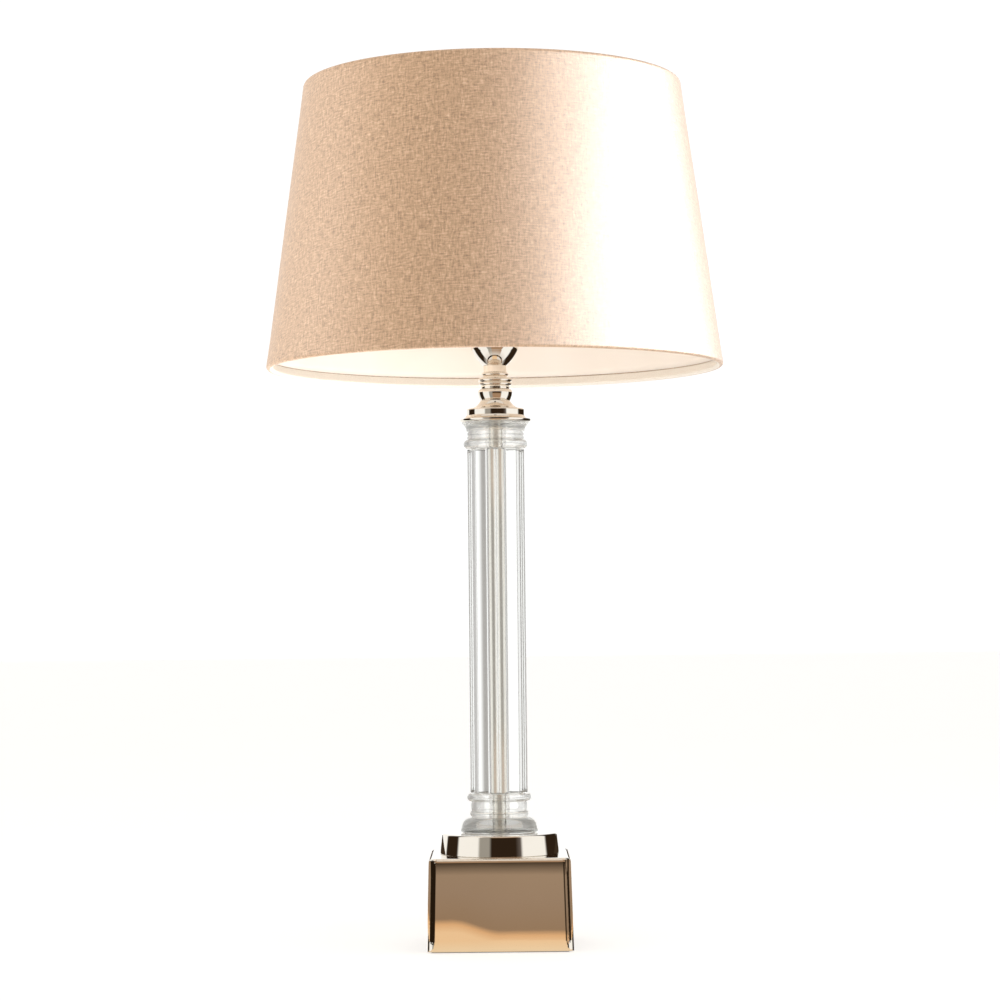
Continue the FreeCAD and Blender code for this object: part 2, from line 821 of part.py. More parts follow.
def cap_flange():
    """Drip brim, cove and band, and the trumpet that the neck stands on."""
    cove_top = "brim_t + flange_cove_h"
    return turned("cap_flange", "flange_level", [
        ("rod_clear_r", "0"),
        ("flange_seat_r", "0", BULGE, "brim_curve_r"),
        ("brim_r", "brim_edge_h"),
        ("brim_r", "brim_t", COVE, "flange_cove_r"),
        ("flange_neck_r", cove_top),
        ("flange_neck_r", "flange_band_top", BULGE, "flange_shoulder"),
        ("flange_neck_r - flange_shoulder", "flange_band_top + flange_shoulder", COVE, "trumpet_r"),
        ("trumpet_top_r", "flange_h"),
        ("rod_clear_r", "flange_h"),
    ])


def neck_bulb():
    return turned("neck_bulb", "neck_bulb_level", [
        ("rod_clear_r", "0"),
        ("trumpet_top_r", "0", BULGE, "bulb_low_curve_r"),
        ("bulb_belly_r", "bulb_low_h", BULGE, "bulb_high_curve_r"),
        ("bulb_top_r", "bulb_low_h + bulb_high_h"),
        ("rod_clear_r", "bulb_low_h + bulb_high_h"),
    ])


def neck_ring():
    high = "ring_groove_h + ring_bead_h"
    return turned("neck_ring", "neck_ring_level", [
        ("rod_clear_r", "0"),
        ("ring_groove_r", "0"),
        ("ring_groove_r", "ring_groove_h"),
        *bead("ring_low_r", "ring_groove_h", "ring_bead_h", "ring_bead_r"),
        *bead("ring_high_r", high, "ring_bead_h", "ring_bead_r"),
        ("rod_clear_r", f"{high} + ring_bead_h"),
    ])


def neck_spool():
    waist = "spool_step_h + spool_bead_h"
    return turned("neck_spool", "neck_spool_level", [
        ("rod_clear_r", "0"),
        ("spool_collar_r", "0"),
        *bead("spool_collar_r - spool_fall", "spool_step_h", "spool_bead_h", "spool_bead_r"),
        ("spool_r", waist),
        ("spool_r", "spool_h"),
        ("rod_clear_r", "spool_h"),
    ])


def socket_cup():
    """Candle cup: a bowl that turns up into a short rim."""
    turn_top = "cup_bowl_h + cup_turn_h"
    rim_top = f"{turn_top} + cup_rim_h"
    return turned("socket_cup", "cup_level", [
        ("rod_clear_r", "0"),
        ("cup_foot_r", "0", BULGE, "cup_bowl_curve_r"),
        ("cup_bowl_r", "cup_bowl_h", BULGE, "cup_turn_r"),
        ("cup_rim_r", turn_top),
        ("cup_rim_r", rim_top),
        ("cup_rim_r - cup_wall", rim_top),
        ("cup_rim_r - cup_wall", turn_top, COVE, "cup_turn_r"),
        ("cup_bowl_r - cup_wall", "cup_bowl_h", COVE, "cup_bowl_curve_r"),
        ("cup_floor_r", "cup_floor_t"),
        ("rod_clear_r", "cup_floor_t"),
    ])


# ---- lampholder ------------------------------------------------------------------------------------


def threaded_tube():
    return ring("threaded_tube", "tube_bottom", "tube_r", "tube_bore_r", "tube_top - tube_bottom")


def holder_cap():
    """Domed cap with the threaded hub that screws on to the tube."""
    return turned("holder_cap", "holder_level", [
        ("thread_r", "0"),
        ("holder_cap_foot_r", "0", BULGE, "holder_dome_r"),
        ("holder_cap_r", "holder_dome_h"),
        ("holder_cap_r", "holder_cap_h"),
        ("holder_cap_r - holder_cap_wall", "holder_cap_h"),
        ("holder_cap_r - holder_cap_wall", "holder_dome_h", COVE, "holder_dome_r - holder_cap_wall"),
        ("holder_cap_foot_r", "holder_cap_wall"),
        ("holder_hub_r", "holder_cap_wall"),
        ("holder_hub_r", "holder_hub_h"),
        ("thread_r", "holder_hub_h"),
    ])


def cut_window(body, name, radius, level):
    """A round hole in the front of a tube, for the switch spindle."""
    window = new_sketch(body, name, "XZ_Plane")
    draw_circle(window, radius, up=f"spindle_z - ({level})")
    pocket(body, window)


def holder_shell():
    body = turned("holder_shell", "shell_level", [
        ("shell_r - shell_wall", "0"),
        ("shell_r", "0"),
        ("shell_r", "shell_h - shell_rim_h", BULGE, "shell_rim_r"),
        ("shell_r", "shell_h"),
        ("shell_r - shell_wall", "shell_h"),
    ])
    cut_window(body, "shell_window", "spindle_r + spindle_window", "shell_level")
    return body


def holder_liner():
    body = ring("holder_liner", "liner_level", "liner_r", "liner_r - liner_t", "liner_h")
    cut_window(body, "liner_window", "spindle_r + spindle_window", "liner_level")
    return body


def holder_body():
    """Phenolic block with a flat and a bore for each terminal screw and the bore of the spindle."""
    body = new_body("holder_body", "holder_body_level")
    plan = new_sketch(body, "holder_body_plan")
    draw_circle(plan, "holder_body_r")
    pad(body, plan, "body_h")
    for side, name in (("", "right"), ("-", "left")):
        before = body.Shape.Volume
        flat = body.newObject("PartDesign::SubtractiveBox", f"terminal_flat_{name}")
        bind(flat, Length="terminal_flat", Width="2 * holder_body_r", Height="terminal_flat_h")
        across = "holder_body_r - terminal_flat" if name == "right" else "-holder_body_r"
        place(flat, across, "-holder_body_r", "terminal_rise - terminal_flat_h / 2")
        document.recompute()
        check_cut(flat, before)
        before = body.Shape.Volume
        bore = body.newObject("PartDesign::SubtractiveCylinder", f"terminal_bore_{name}")
        bind(bore, Radius="terminal_r + screw_gap", Height="terminal_l + screw_gap")
        bore.Placement = FreeCAD.Placement(FreeCAD.Vector(), FreeCAD.Rotation(Y_AXIS, 90))
        start = "holder_body_r - terminal_flat"
        across = f"{start} - terminal_l - screw_gap" if name == "right" else f"-({start})"
        place(bore, across, "0", "terminal_rise")
        document.recompute()
        check_cut(bore, before)
    spindle = new_sketch(body, "holder_spindle_bore", "XZ_Plane",
                         "holder_body_r - spindle_in - joint_gap")
    draw_circle(spindle, "spindle_r + spindle_fit", up="spindle_rise")
    pocket(body, spindle)
    return body


def screw_shell():
    """Threaded sleeve for the bulb's cap, with a flange on the phenolic block."""
    return turned("screw_shell", "holder_body_top", [
        ("screw_shell_flange_r", "0"),
        ("screw_shell_r", "0"),
        ("screw_shell_r", "screw_shell_h"),
        ("screw_shell_r - screw_shell_t", "screw_shell_h"),
        ("screw_shell_r - screw_shell_t", "screw_shell_t"),
        ("screw_shell_flange_r", "screw_shell_t"),
    ])


def centre_contact():
    """Brass strip, bent up under the tip of the bulb."""
    body = new_body("centre_contact", "holder_body_top", x="-contact_w / 2")
    profile = new_sketch(body, "contact_profile", "YZ_Plane")
    draw_outline(profile, [
        ("-contact_l", "0"),
        ("-contact_l / 2 + contact_t / 2", "0"),
        ("contact_t / 2 - contact_l / 4", "contact_rise"),
        ("contact_l / 2", "contact_rise"),
        ("contact_l / 2", "contact_rise + contact_t"),
        ("-contact_l / 4", "contact_rise + contact_t"),
        ("-contact_l / 2", "contact_t"),
        ("-contact_l", "contact_t"),
    ])
    pad(body, profile, "contact_w")
    return body


def terminal_screws():
    level = "holder_body_level + terminal_rise"
    face = "holder_body_r - terminal_flat"
    solids = []
    for side in (1, -1):
        turn = (Y_AXIS, 90 * side)
        name = "right" if side > 0 else "left"
        solids.append(cylinder(f"terminal_head_{name}", "terminal_head_r", "terminal_head_t",
                               f"{side} * ({face})", "0", level, turn))
        solids.append(cylinder(f"terminal_shank_{name}", "terminal_r", "terminal_l + terminal_head_t",
                               f"{side} * ({face} - terminal_l)", "0", level, turn))
    return joined("terminal_screws", solids)


def switch_spindle():
    spindle = cylinder("switch_spindle", "spindle_r", "spindle_in + spindle_out",
                       y="spindle_in - holder_body_r", z="spindle_z", turn=(X_AXIS, 90))
    spindle.Label = "switch_spindle"
    return spindle


def switch_knob():
    """Fluted turn knob with a blind bore on the spindle; its own Z axis points to the front."""
    body = new_body("switch_knob")
    plan = new_sketch(body, "knob_plan")
    draw_circle(plan, "knob_r")
    blank = pad(body, plan, "knob_l")

    def outer_end(edge):
        return edge.BoundBox.ZMin > number("knob_l / 2")

    round_edges(body, blank, "knob_edge_r", outer_end)
    flute = new_sketch(body, "knob_flute")
    draw_circle(flute, "knob_flute_r", "knob_r")
    first = pocket(body, flute)
    polar_copies(body, first, flute, "knob_flutes")
    bore = new_sketch(body, "knob_bore")
    draw_circle(bore, "spindle_r + spindle_fit")
    pocket(body, bore, "knob_grip")
    body.Placement = FreeCAD.Placement(FreeCAD.Vector(), FreeCAD.Rotation(X_AXIS, 90))
    place(body, y="-shell_r - knob_gap", z="spindle_z")
    return body


# ---- harp ------------------------------------------------------------------------------------------


def harp_saddle():
    """Bent steel strip with an eye for the tube and a pin at each end."""
    right_half = [
        section_point("saddle_foot_x", "saddle_t / 2"),
        section_point("saddle_waist_x", "saddle_rise"),
        section_point("saddle_waist_x", "saddle_waist_h"),
        section_point("harp_x", "saddle_spread_h"),
        section_point("harp_x", "saddle_top_h"),
    ]
    corners = mirrored_path(right_half)
    path = rounded_path(corners, [number("saddle_bend_r")] * (len(corners) - 2))
    width = number("saddle_w")
    thickness = number("saddle_t")
    section = Part.makePlane(thickness, width, FreeCAD.Vector(-thickness / 2, -width / 2, 0))
    section.translate(path.Vertexes[0].Point)
    strip = swept(path, section.OuterWire)
    eye = Part.makeCylinder(number("saddle_eye_r"), thickness)
    pins = []
    for side in (1, -1):
        foot = FreeCAD.Vector(side * number("harp_x"), 0, number("saddle_top_h - pin_root"))
        pins.append(Part.makeCylinder(number("harp_wire_r"), number("pin_h + pin_root"), foot))
    saddle = strip.fuse([eye, *pins]).removeSplitter()
    saddle = saddle.cut(Part.makeCylinder(number("thread_r"), thickness))
    return shaped("harp_saddle", saddle, z="saddle_level")


def harp_loop():
    """Bent wire: two feet over the saddle's pins, spread shoulders and a flat top."""
    right_half = [
        section_point("harp_shoulder_x", "harp_top - harp_foot"),
        section_point("harp_x", "harp_top - harp_foot - harp_waist_drop"),
        section_point("harp_x", "0"),
    ]
    waist = number("harp_waist_r")
    bend = number("harp_bend_r")
    path = rounded_path(mirrored_path(right_half), [waist, bend, bend, waist])
    wire = Part.Wire(Part.makeCircle(number("harp_wire_r"), path.Vertexes[0].Point, Z_AXIS))
    return shaped("harp_loop", swept(path, wire), z="harp_foot")


def harp_stud():
    """Turned block on the harp's top wire, with the threaded stud for the shade and the finial."""
    body = turned("harp_stud", "stud_seat - stud_block_h", [
        ("0", "0"),
        ("stud_block_r", "0"),
        ("stud_block_r", "stud_block_h"),
        ("stud_r", "stud_block_h"),
        ("stud_r", "stud_block_h + stud_l"),
        ("0", "stud_block_h + stud_l"),
    ])
    before = body.Shape.Volume
    cross = body.newObject("PartDesign::SubtractiveCylinder", "stud_cross_hole")
    bind(cross, Radius="harp_wire_r + stud_fit", Height="4 * stud_block_r")
    cross.Placement = FreeCAD.Placement(FreeCAD.Vector(), FreeCAD.Rotation(Y_AXIS, 90))
    place(cross, "-2 * stud_block_r", "0", "stud_block_h / 2")
    document.recompute()
    check_cut(cross, before)
    return body


def harp_sleeve(label, across):
    return ring(label, "saddle_shoulder + joint_gap", "harp_wire_r + sleeve_nut_fit + sleeve_nut_wall",
                "harp_wire_r + sleeve_nut_fit", "sleeve_nut_h", across)


def finial():
    """Turned nut on the harp's stud."""
    waist_low = "finial_foot_h"
    waist_high = "finial_foot_h + finial_waist_h"
    bore = "stud_seat + stud_l - finial_level + finial_room"
    return turned("finial", "finial_level", [
        ("stud_r + thread_gap", "0"),
        ("finial_foot_r", "0", BULGE, "finial_foot_curve_r"),
        ("finial_foot_r", waist_low, COVE, "finial_cove_r"),
        ("finial_waist_r", waist_high, BULGE, "finial_ball_r"),
        ("0", f"{waist_high} + finial_ball_h"),
        ("0", bore),
        ("stud_r + thread_gap", bore),
    ])


# ---- shade -----------------------------------------------------------------------------------------


def wire_ring(label, radius, level):
    torus = document.addObject("Part::Torus", label)
    torus.Label = label
    bind(torus, Radius1=radius, Radius2="ring_wire_r")
    place(torus, z=level)
    return torus


def shade_spider():
    """Hub plate, wire arms that turn up at the rim, and the top ring."""
    solids = [cylinder("spider_hub", "hub_r", "hub_t", z="hub_level")]
    inner = "(hub_r - 2 * arm_r)"
    for index in range(int(SIZES["arms"])):
        angle = f"(90 + {index} * 360 / arms)"
        reach_x = f"top_ring_r * cos({angle})"
        reach_y = f"top_ring_r * sin({angle})"
        solids.append(cylinder(f"spider_arm_{index}", "arm_r", f"top_ring_r - {inner}",
                               f"{inner} * cos({angle})", f"{inner} * sin({angle})", "arm_level",
                               turn=(number(angle), 90, 0)))
        elbow = document.addObject("Part::Sphere", f"spider_elbow_{index}")
        bind(elbow, Radius="arm_r")
        place(elbow, reach_x, reach_y, "arm_level")
        solids.append(elbow)
        solids.append(cylinder(f"spider_riser_{index}", "arm_r", "arm_drop", reach_x, reach_y, "arm_level"))
    solids.append(wire_ring("spider_ring", "top_ring_r", "top_ring_level"))
    spider = document.addObject("Part::Cut", "shade_spider")
    spider.Label = "shade_spider"
    spider.Base = joined("spider_wires", solids)
    spider.Tool = cylinder("spider_eye", "stud_r + joint_gap", "hub_t", z="hub_level")
    return spider


def wall_at(height, inside="0"):
    """A corner of the shade's section: so far inside the outer face, at a height above the rim."""
    return (f"shade_bottom_r - shade_slope * ({height}) - ({inside})", height)


def shade_cover():
    """Fabric on its backing: a cone whose two hems fold round the ring wires."""
    flap = "hem_depth - cover_t"
    return turned("shade_cover", "shade_level", [
        wall_at("0"),
        wall_at("shade_h"),
        wall_at("shade_h", "hem_depth"),
        wall_at("shade_h - hem_h", "hem_depth"),
        wall_at("shade_h - hem_h", flap),
        wall_at("shade_h - cover_t", flap),
        wall_at("shade_h - cover_t", "cover_t"),
        wall_at("cover_t", "cover_t"),
        wall_at("cover_t", flap),
        wall_at("hem_h", flap),
        wall_at("hem_h", "hem_depth"),
        wall_at("0", "hem_depth"),
    ])


def shade_lining():
    """White lining of the cover, between the hems."""
    low = "hem_h + liner_sheet_inset"
    high = "shade_h - hem_h - liner_sheet_inset"
    outer = "cover_t + liner_sheet_gap"
    inner = "cover_t + liner_sheet_gap + liner_sheet_t"
    return turned("shade_lining", "shade_level", [
        wall_at(low, inner),
        wall_at(low, outer),
        wall_at(high, outer),
        wall_at(high, inner),
    ])


# ---- bulb ------------------------------------------------------------------------------------------


def bulb_contact():
    return turned("bulb_contact", "bulb_level", [
        ("0", "0"),
        ("bulb_tip_r", "0"),
        ("bulb_tip_top_r", "bulb_tip_h"),
        ("0", "bulb_tip_h"),
    ])


def bulb_cap():
    inner = "bulb_cap_r - bulb_cap_wall"
    return turned("bulb_cap", "bulb_cap_level", [
        ("0", "0"),
        ("bulb_tip_top_r", "0"),
        ("bulb_cap_r", "bulb_cap_slope_h"),
        ("bulb_cap_r", "bulb_cap_h"),
        (inner, "bulb_cap_h"),
        (inner, "bulb_cap_slope_h + bulb_cap_wall / 2"),
        ("bulb_tip_top_r - bulb_cap_wall / 2", "bulb_cap_wall"),
        ("0", "bulb_cap_wall"),
    ])


def bulb_glass():
    """Frosted globe with a flared neck."""
    centre = "(bulb_glass_h - bulb_r)"
    inner = "(bulb_r - bulb_wall)"
    return turned("bulb_glass", "bulb_glass_level", [
        ("bulb_neck_r - bulb_wall", "0"),
        ("bulb_neck_r", "0"),
        ("bulb_neck_r", "bulb_neck_rise", COVE, "bulb_flare_r"),
        ("bulb_r * cos(bulb_flare)", f"{centre} - bulb_r * sin(bulb_flare)", BULGE, "bulb_r"),
        ("bulb_r", centre, BULGE, "bulb_r"),
        ("0", "bulb_glass_h"),
        ("0", "bulb_glass_h - bulb_wall", COVE, inner),
        (inner, centre, COVE, inner),
        (f"{inner} * cos(bulb_flare)", f"{centre} - {inner} * sin(bulb_flare)", BULGE,
         "bulb_flare_r + bulb_wall"),
        ("bulb_neck_r - bulb_wall", "bulb_neck_rise"),
    ])


# ---- assembly --------------------------------------------------------------------------------------

pieces = [
    felt_pad(),
    bottom_plate(),
    plate_screws(),
    base_shell(),
    ring("ballast_disc", "ballast_level", "ballast_r", "rod_clear_r", "ballast_h"),
    ring("rod_washer", "washer_level", "washer_r", "rod_clear_r", "washer_t"),
    hex_nut("rod_nut", "nut_level", "nut_h"),
    cord_bush(),
    plinth_disc(),
    ring("foot_gasket", "plinth_top", "foot_gasket_r", "glass_bore_r", "gasket_t"),
    glass_foot(),
    ring("lower_gasket", "shaft_level - gasket_t", "gasket_r", "glass_bore_r", "gasket_t"),
    glass_shaft(),
    ring("upper_gasket", "shaft_level + shaft_h", "gasket_r", "glass_bore_r", "gasket_t"),
    glass_collar(),
    ring("cap_gasket", "flange_level - gasket_t", "gasket_r", "glass_bore_r", "gasket_t"),
    ring("tube_sleeve", "plinth_top", "sleeve_r", "sleeve_r - sleeve_wall",
         "flange_level - plinth_top - sleeve_gap"),
    threaded_tube(),
    cap_flange(),
    neck_bulb(),
    neck_ring(),
    neck_spool(),
    socket_cup(),
    hex_nut("cup_nut", "cup_nut_level", "cup_nut_h"),
    harp_saddle(),
    holder_cap(),
    holder_shell(),
    holder_liner(),
    holder_body(),
    screw_shell(),
    centre_contact(),
    terminal_screws(),
    switch_spindle(),
    switch_knob(),
    harp_loop(),
    harp_stud(),
    harp_sleeve("harp_sleeve_left", "-harp_x"),
    harp_sleeve("harp_sleeve_right", "harp_x"),
    finial(),
    shade_spider(),
    wire_ring("shade_bottom_ring", "bottom_ring_r", "shade_level + ring_inset"),
    shade_cover(),
    shade_lining(),
    bulb_contact(),
    bulb_cap(),
    bulb_glass(),
]

document.recompute()
faulty = [item.Label for item in document.Objects if {"Invalid", "Error"} & set(item.State)]
faulty += [piece.Label for piece in pieces if piece.Shape.isNull() or not piece.Shape.isValid()]
if faulty:
    raise RuntimeError("not sound: " + ", ".join(faulty))

os.makedirs("parts", exist_ok=True)
for piece in pieces:
    piece.Shape.exportStep(f"parts/{piece.Label}.step")
    box = piece.Shape.optimalBoundingBox(False)
    print(f"{piece.Label:20} {len(piece.Shape.Solids)} z {box.ZMin:8.2f} {box.ZMax:8.2f}"
          f" x {box.XMax:7.2f} y {box.YMax:7.2f} volume {piece.Shape.Volume:12.1f}")
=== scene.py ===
import json
import math

import bpy
import numpy as np
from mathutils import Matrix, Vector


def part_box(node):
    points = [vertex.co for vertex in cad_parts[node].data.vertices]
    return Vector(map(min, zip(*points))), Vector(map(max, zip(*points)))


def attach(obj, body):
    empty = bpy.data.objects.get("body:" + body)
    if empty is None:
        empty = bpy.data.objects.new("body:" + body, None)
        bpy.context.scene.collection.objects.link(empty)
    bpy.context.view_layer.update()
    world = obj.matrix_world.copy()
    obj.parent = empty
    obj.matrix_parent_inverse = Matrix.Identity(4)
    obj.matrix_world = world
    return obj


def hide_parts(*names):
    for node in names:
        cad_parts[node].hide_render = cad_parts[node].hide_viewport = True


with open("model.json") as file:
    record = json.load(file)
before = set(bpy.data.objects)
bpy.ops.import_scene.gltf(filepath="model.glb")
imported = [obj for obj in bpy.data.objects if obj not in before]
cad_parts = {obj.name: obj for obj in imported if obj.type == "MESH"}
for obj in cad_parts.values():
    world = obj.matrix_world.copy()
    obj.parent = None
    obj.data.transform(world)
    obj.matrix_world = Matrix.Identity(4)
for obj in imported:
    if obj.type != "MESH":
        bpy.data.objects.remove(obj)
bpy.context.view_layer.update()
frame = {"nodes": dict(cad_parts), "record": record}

# Looks of the candlestick lamp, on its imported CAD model. Metres, +Z up, the front faces -Y.
# Sections are given in millimetres, as a turner's drawing would give them.

MM = 0.001
BULGE = 1
COVE = -1
TURN_STEPS = 192


def level(node):
    """Height of a CAD node's lowest point, in millimetres."""
    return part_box(node)[0].z / MM


# ---- surfaces --------------------------------------------------------------------------------------


def outline(corners, steps=22):
    """A closed section as points (N, 2) in mm. A corner (r, z) starts a straight run, and a corner
    (r, z, way, radius) an arc to the next corner, on the circle of that radius through both."""
    runs = []
    for corner, after in zip(corners, corners[1:] + corners[:1]):
        start = np.array(corner[:2], float)
        end = np.array(after[:2], float)
        if len(corner) == 2:
            runs.append(start[None])
            continue
        way, radius = corner[2:]
        chord = end - start
        half = np.hypot(*chord) / 2
        left = np.array([-chord[1], chord[0]]) / (2 * half)
        centre = (start + end) / 2 + left * way * math.sqrt(radius ** 2 - half ** 2)
        first = math.atan2(*(start - centre)[::-1])
        last = math.atan2(*(end - centre)[::-1])
        sweep = (last - first + math.pi) % (2 * math.pi) - math.pi
        angle = first + sweep * np.arange(steps) / steps
        runs.append(centre + radius * np.stack([np.cos(angle), np.sin(angle)], 1))
    return np.vstack(runs)


def eased(section, radius=0.35, steps=5, support=0.12):
    """Rounds the sharp corners of a closed section. A corner P that turns over 12 degrees becomes the
    parabola (1-t)^2 A + 2(1-t)t P + t^2 B between the points A and B, cut back from P along its runs,
    and a point a little further along each run keeps the shading of the flats flat."""
    ahead = np.roll(section, -1, 0) - section
    length = np.hypot(ahead[:, 0], ahead[:, 1])
    way = ahead / length[:, None]
    back_way, back_length = np.roll(way, 1, 0), np.roll(length, 1)
    turn = np.arccos(np.clip((way * back_way).sum(1), -1, 1))
    sharp = turn > math.radians(12)
    cut = np.minimum(radius * np.tan(turn / 2), 0.4 * np.minimum(length, back_length))
    more = np.minimum(support, 0.08 * np.minimum(length, back_length))
    t = np.linspace(0, 1, steps)[None, :, None]
    point = section[:, None, :]
    start = point - (back_way * cut[:, None])[:, None, :]
    end = point + (way * cut[:, None])[:, None, :]
    curve = (1 - t) ** 2 * start + 2 * (1 - t) * t * point + t ** 2 * end
    before = point - (back_way * (cut + more)[:, None])[:, None, :]
    after = point + (way * (cut + more)[:, None])[:, None, :]
    rows = np.concatenate([before, curve, after], 1)
    rows[~sharp, 0] = section[~sharp]
    keep = np.repeat(sharp[:, None], rows.shape[1], 1)
    keep[:, 0] = True
    return rows[keep]


def mesh_piece(name, points, faces, smooth=True):
    """An object from vertices in metres and rows of corner numbers; -1 leaves a corner out."""
    mesh = bpy.data.meshes.new(name)
    if isinstance(faces, np.ndarray):
        faces = faces.tolist()
    mesh.from_pydata(points.tolist(), [], faces)
    mesh.polygons.foreach_set("use_smooth", np.full(len(faces), smooth))
    mesh.update()
    piece = bpy.data.objects.new(name, mesh)
    bpy.context.scene.collection.objects.link(piece)
    return piece


def grid_faces(rows, columns):
    """Quads between neighbouring rows and columns of a grid that closes on itself both ways."""
    row, column = np.meshgrid(np.arange(rows), np.arange(columns), indexing="ij")
    below, beside = (row + 1) % rows, (column + 1) % columns
    corners = [row * columns + column, row * columns + beside, below * columns + beside,
               below * columns + column]
    return np.stack(corners, -1).reshape(-1, 4)


def around(name, radius, height, angle):
    """Closed surface of radius and height (rows, columns) in mm, at each angle of a full turn:
    the point is (radius cos angle, radius sin angle, height)."""
    rows, columns = radius.shape
    points = np.stack([radius * np.cos(angle), radius * np.sin(angle), height], -1) * MM
    return mesh_piece(name, points.reshape(-1, 3), grid_faces(rows, columns))


def turned(name, node, corners, ease=0.35):
    """A lathe piece: its section, carried once round the Z axis at the CAD node's height."""
    section = eased(outline(corners), ease)
    angle = np.linspace(0, 2 * math.pi, TURN_STEPS, endpoint=False)
    radius = np.repeat(section[:, :1], TURN_STEPS, 1)
    height = np.repeat(section[:, 1:], TURN_STEPS, 1) + level(node)
    return around(name, radius, height, angle)


def square_loop(half, corner, per_corner=12):
    """Radius and angle of a square with rounded corners, for half sides and corner radii given as
    columns: each corner is a quarter circle about (half - corner, half - corner)."""
    quarter = np.linspace(0, math.pi / 2, per_corner)
    turn = np.concatenate([quarter + side * math.pi / 2 for side in range(4)])
    side = np.repeat(np.arange(4), per_corner) * math.pi / 2
    middle = math.sqrt(2) * (half - corner)
    x = middle * np.cos(side + math.pi / 4) + corner * np.cos(turn)
    y = middle * np.sin(side + math.pi / 4) + corner * np.sin(turn)
    return x, y


def square_shell(name, stations, base):
    """A hollow block: rounded square loops at the stations (half side, corner radius, height) in mm,
    joined in order and closed from the last back to the first."""
    half, corner, height = np.array(stations, float).T[:, :, None]
    x, y = square_loop(half, corner)
    z = np.broadcast_to(height + base, x.shape)
    points = np.stack([x, y, z], -1) * MM
    return mesh_piece(name, points.reshape(-1, 3), grid_faces(*x.shape))


# ---- node helpers ----------------------------------------------------------------------------------


def wire(tree, kind, sockets=None, **settings):
    """A shader node; a socket value that is itself a socket becomes a link."""
    made = tree.nodes.new(kind)
    for name, value in settings.items():
        setattr(made, name, value)
    for name, value in (sockets or {}).items():
        if isinstance(value, bpy.types.NodeSocket):
            tree.links.new(value, made.inputs[name])
        else:
            made.inputs[name].default_value = value
    return made


def maths(tree, operation, first, second=0.0, third=0.5):
    """A Math node; the third number counts only for a multiply-add."""
    made = wire(tree, "ShaderNodeMath", {0: first, 1: second, 2: third}, operation=operation)
    return made.outputs[0]


def ramp(tree, factor, stops):
    """A colour ramp of (position, (r, g, b)) stops."""
    made = wire(tree, "ShaderNodeValToRGB", {0: factor})
    elements = made.color_ramp.elements
    while len(elements) > 1:
        elements.remove(elements[-1])
    elements[0].position, elements[0].color = stops[0][0], (*stops[0][1], 1)
    for position, colour in stops[1:]:
        elements.new(position).color = (*colour, 1)
    return made.outputs["Color"]


def grey(value):
    """The same value for red, green and blue."""
    return (value, value, value)


def spread(tree, source, scale):
    """Coordinates stretched by a scale each way."""
    made = wire(tree, "ShaderNodeMapping", {"Vector": source, "Scale": scale})
    return made.outputs[0]


def noise(tree, source, scale, detail=3.0, roughness=0.55):
    """Cloudy noise from 0 to 1."""
    made = wire(tree, "ShaderNodeTexNoise", {"Vector": source, "Scale": scale, "Detail": detail,
                                             "Roughness": roughness})
    return made.outputs["Fac"]


def bump(tree, height, distance, strength=1.0, under=None):
    """A normal roughened by a height, on top of the normal under where one is given."""
    sockets = {"Height": height, "Distance": distance, "Strength": strength}
    if under is not None:
        sockets["Normal"] = under
    return wire(tree, "ShaderNodeBump", sockets).outputs[0]


def finish_material(name, **constants):
    """A new material, its node tree, its shader with constants set, and its object coordinates."""
    material = bpy.data.materials.new(name)
    material.use_nodes = True
    tree = material.node_tree
    shader = tree.nodes["Principled BSDF"]
    for socket, value in constants.items():
        shader.inputs[socket.replace("_", " ")].default_value = value
    where = tree.nodes.new("ShaderNodeTexCoord").outputs["Object"]
    return material, tree, shader, where


# ---- materials -------------------------------------------------------------------------------------


def polished_metal(name, dark, light, low, high, wobble=6e-6):
    """Mirror-polished plate: faint cloudy tint, buffing haze in the roughness, and a slow wobble."""
    material, tree, shader, where = finish_material(name, Metallic=1.0)
    cloud = noise(tree, where, 9.0, 3.0)
    haze = noise(tree, spread(tree, where, (1.0, 1.0, 7.0)), 130.0, 5.0)
    tree.links.new(ramp(tree, cloud, [(0.3, dark), (0.7, light)]), shader.inputs["Base Color"])
    tree.links.new(ramp(tree, haze, [(0.35, grey(low)), (0.75, grey(high))]), shader.inputs["Roughness"])
    slow = bump(tree, noise(tree, where, 22.0, 1.0), wobble * 8)
    tree.links.new(bump(tree, haze, wobble * 0.2, under=slow), shader.inputs["Normal"])
    return material


def plain_metal(name, dark, light, low, high, scale=160.0, depth=2e-5):
    """Plated or drawn hardware: mottled tint, uneven roughness and a fine grain."""
    material, tree, shader, where = finish_material(name, Metallic=1.0)
    mottle = noise(tree, where, scale, 4.0)
    grain = noise(tree, spread(tree, where, (1.0, 1.0, 0.15)), scale * 8, 3.0)
    tree.links.new(ramp(tree, mottle, [(0.3, dark), (0.7, light)]), shader.inputs["Base Color"])
    tree.links.new(ramp(tree, grain, [(0.3, grey(low)), (0.7, grey(high))]), shader.inputs["Roughness"])
    tree.links.new(bump(tree, grain, depth), shader.inputs["Normal"])
    return material


def moulded(name, dark, light, low, high, scale=220.0, depth=2e-5, **constants):
    """Plastic, paint, rubber or fibre: a speckle of two shades over a fine orange-peel."""
    material, tree, shader, where = finish_material(name, **constants)
    speckle = noise(tree, where, scale, 4.0)
    peel = noise(tree, where, scale * 5, 2.0)
    tree.links.new(ramp(tree, speckle, [(0.3, dark), (0.7, light)]), shader.inputs["Base Color"])
    tree.links.new(ramp(tree, peel, [(0.3, grey(low)), (0.7, grey(high))]), shader.inputs["Roughness"])
    tree.links.new(bump(tree, peel, depth), shader.inputs["Normal"])
    return material


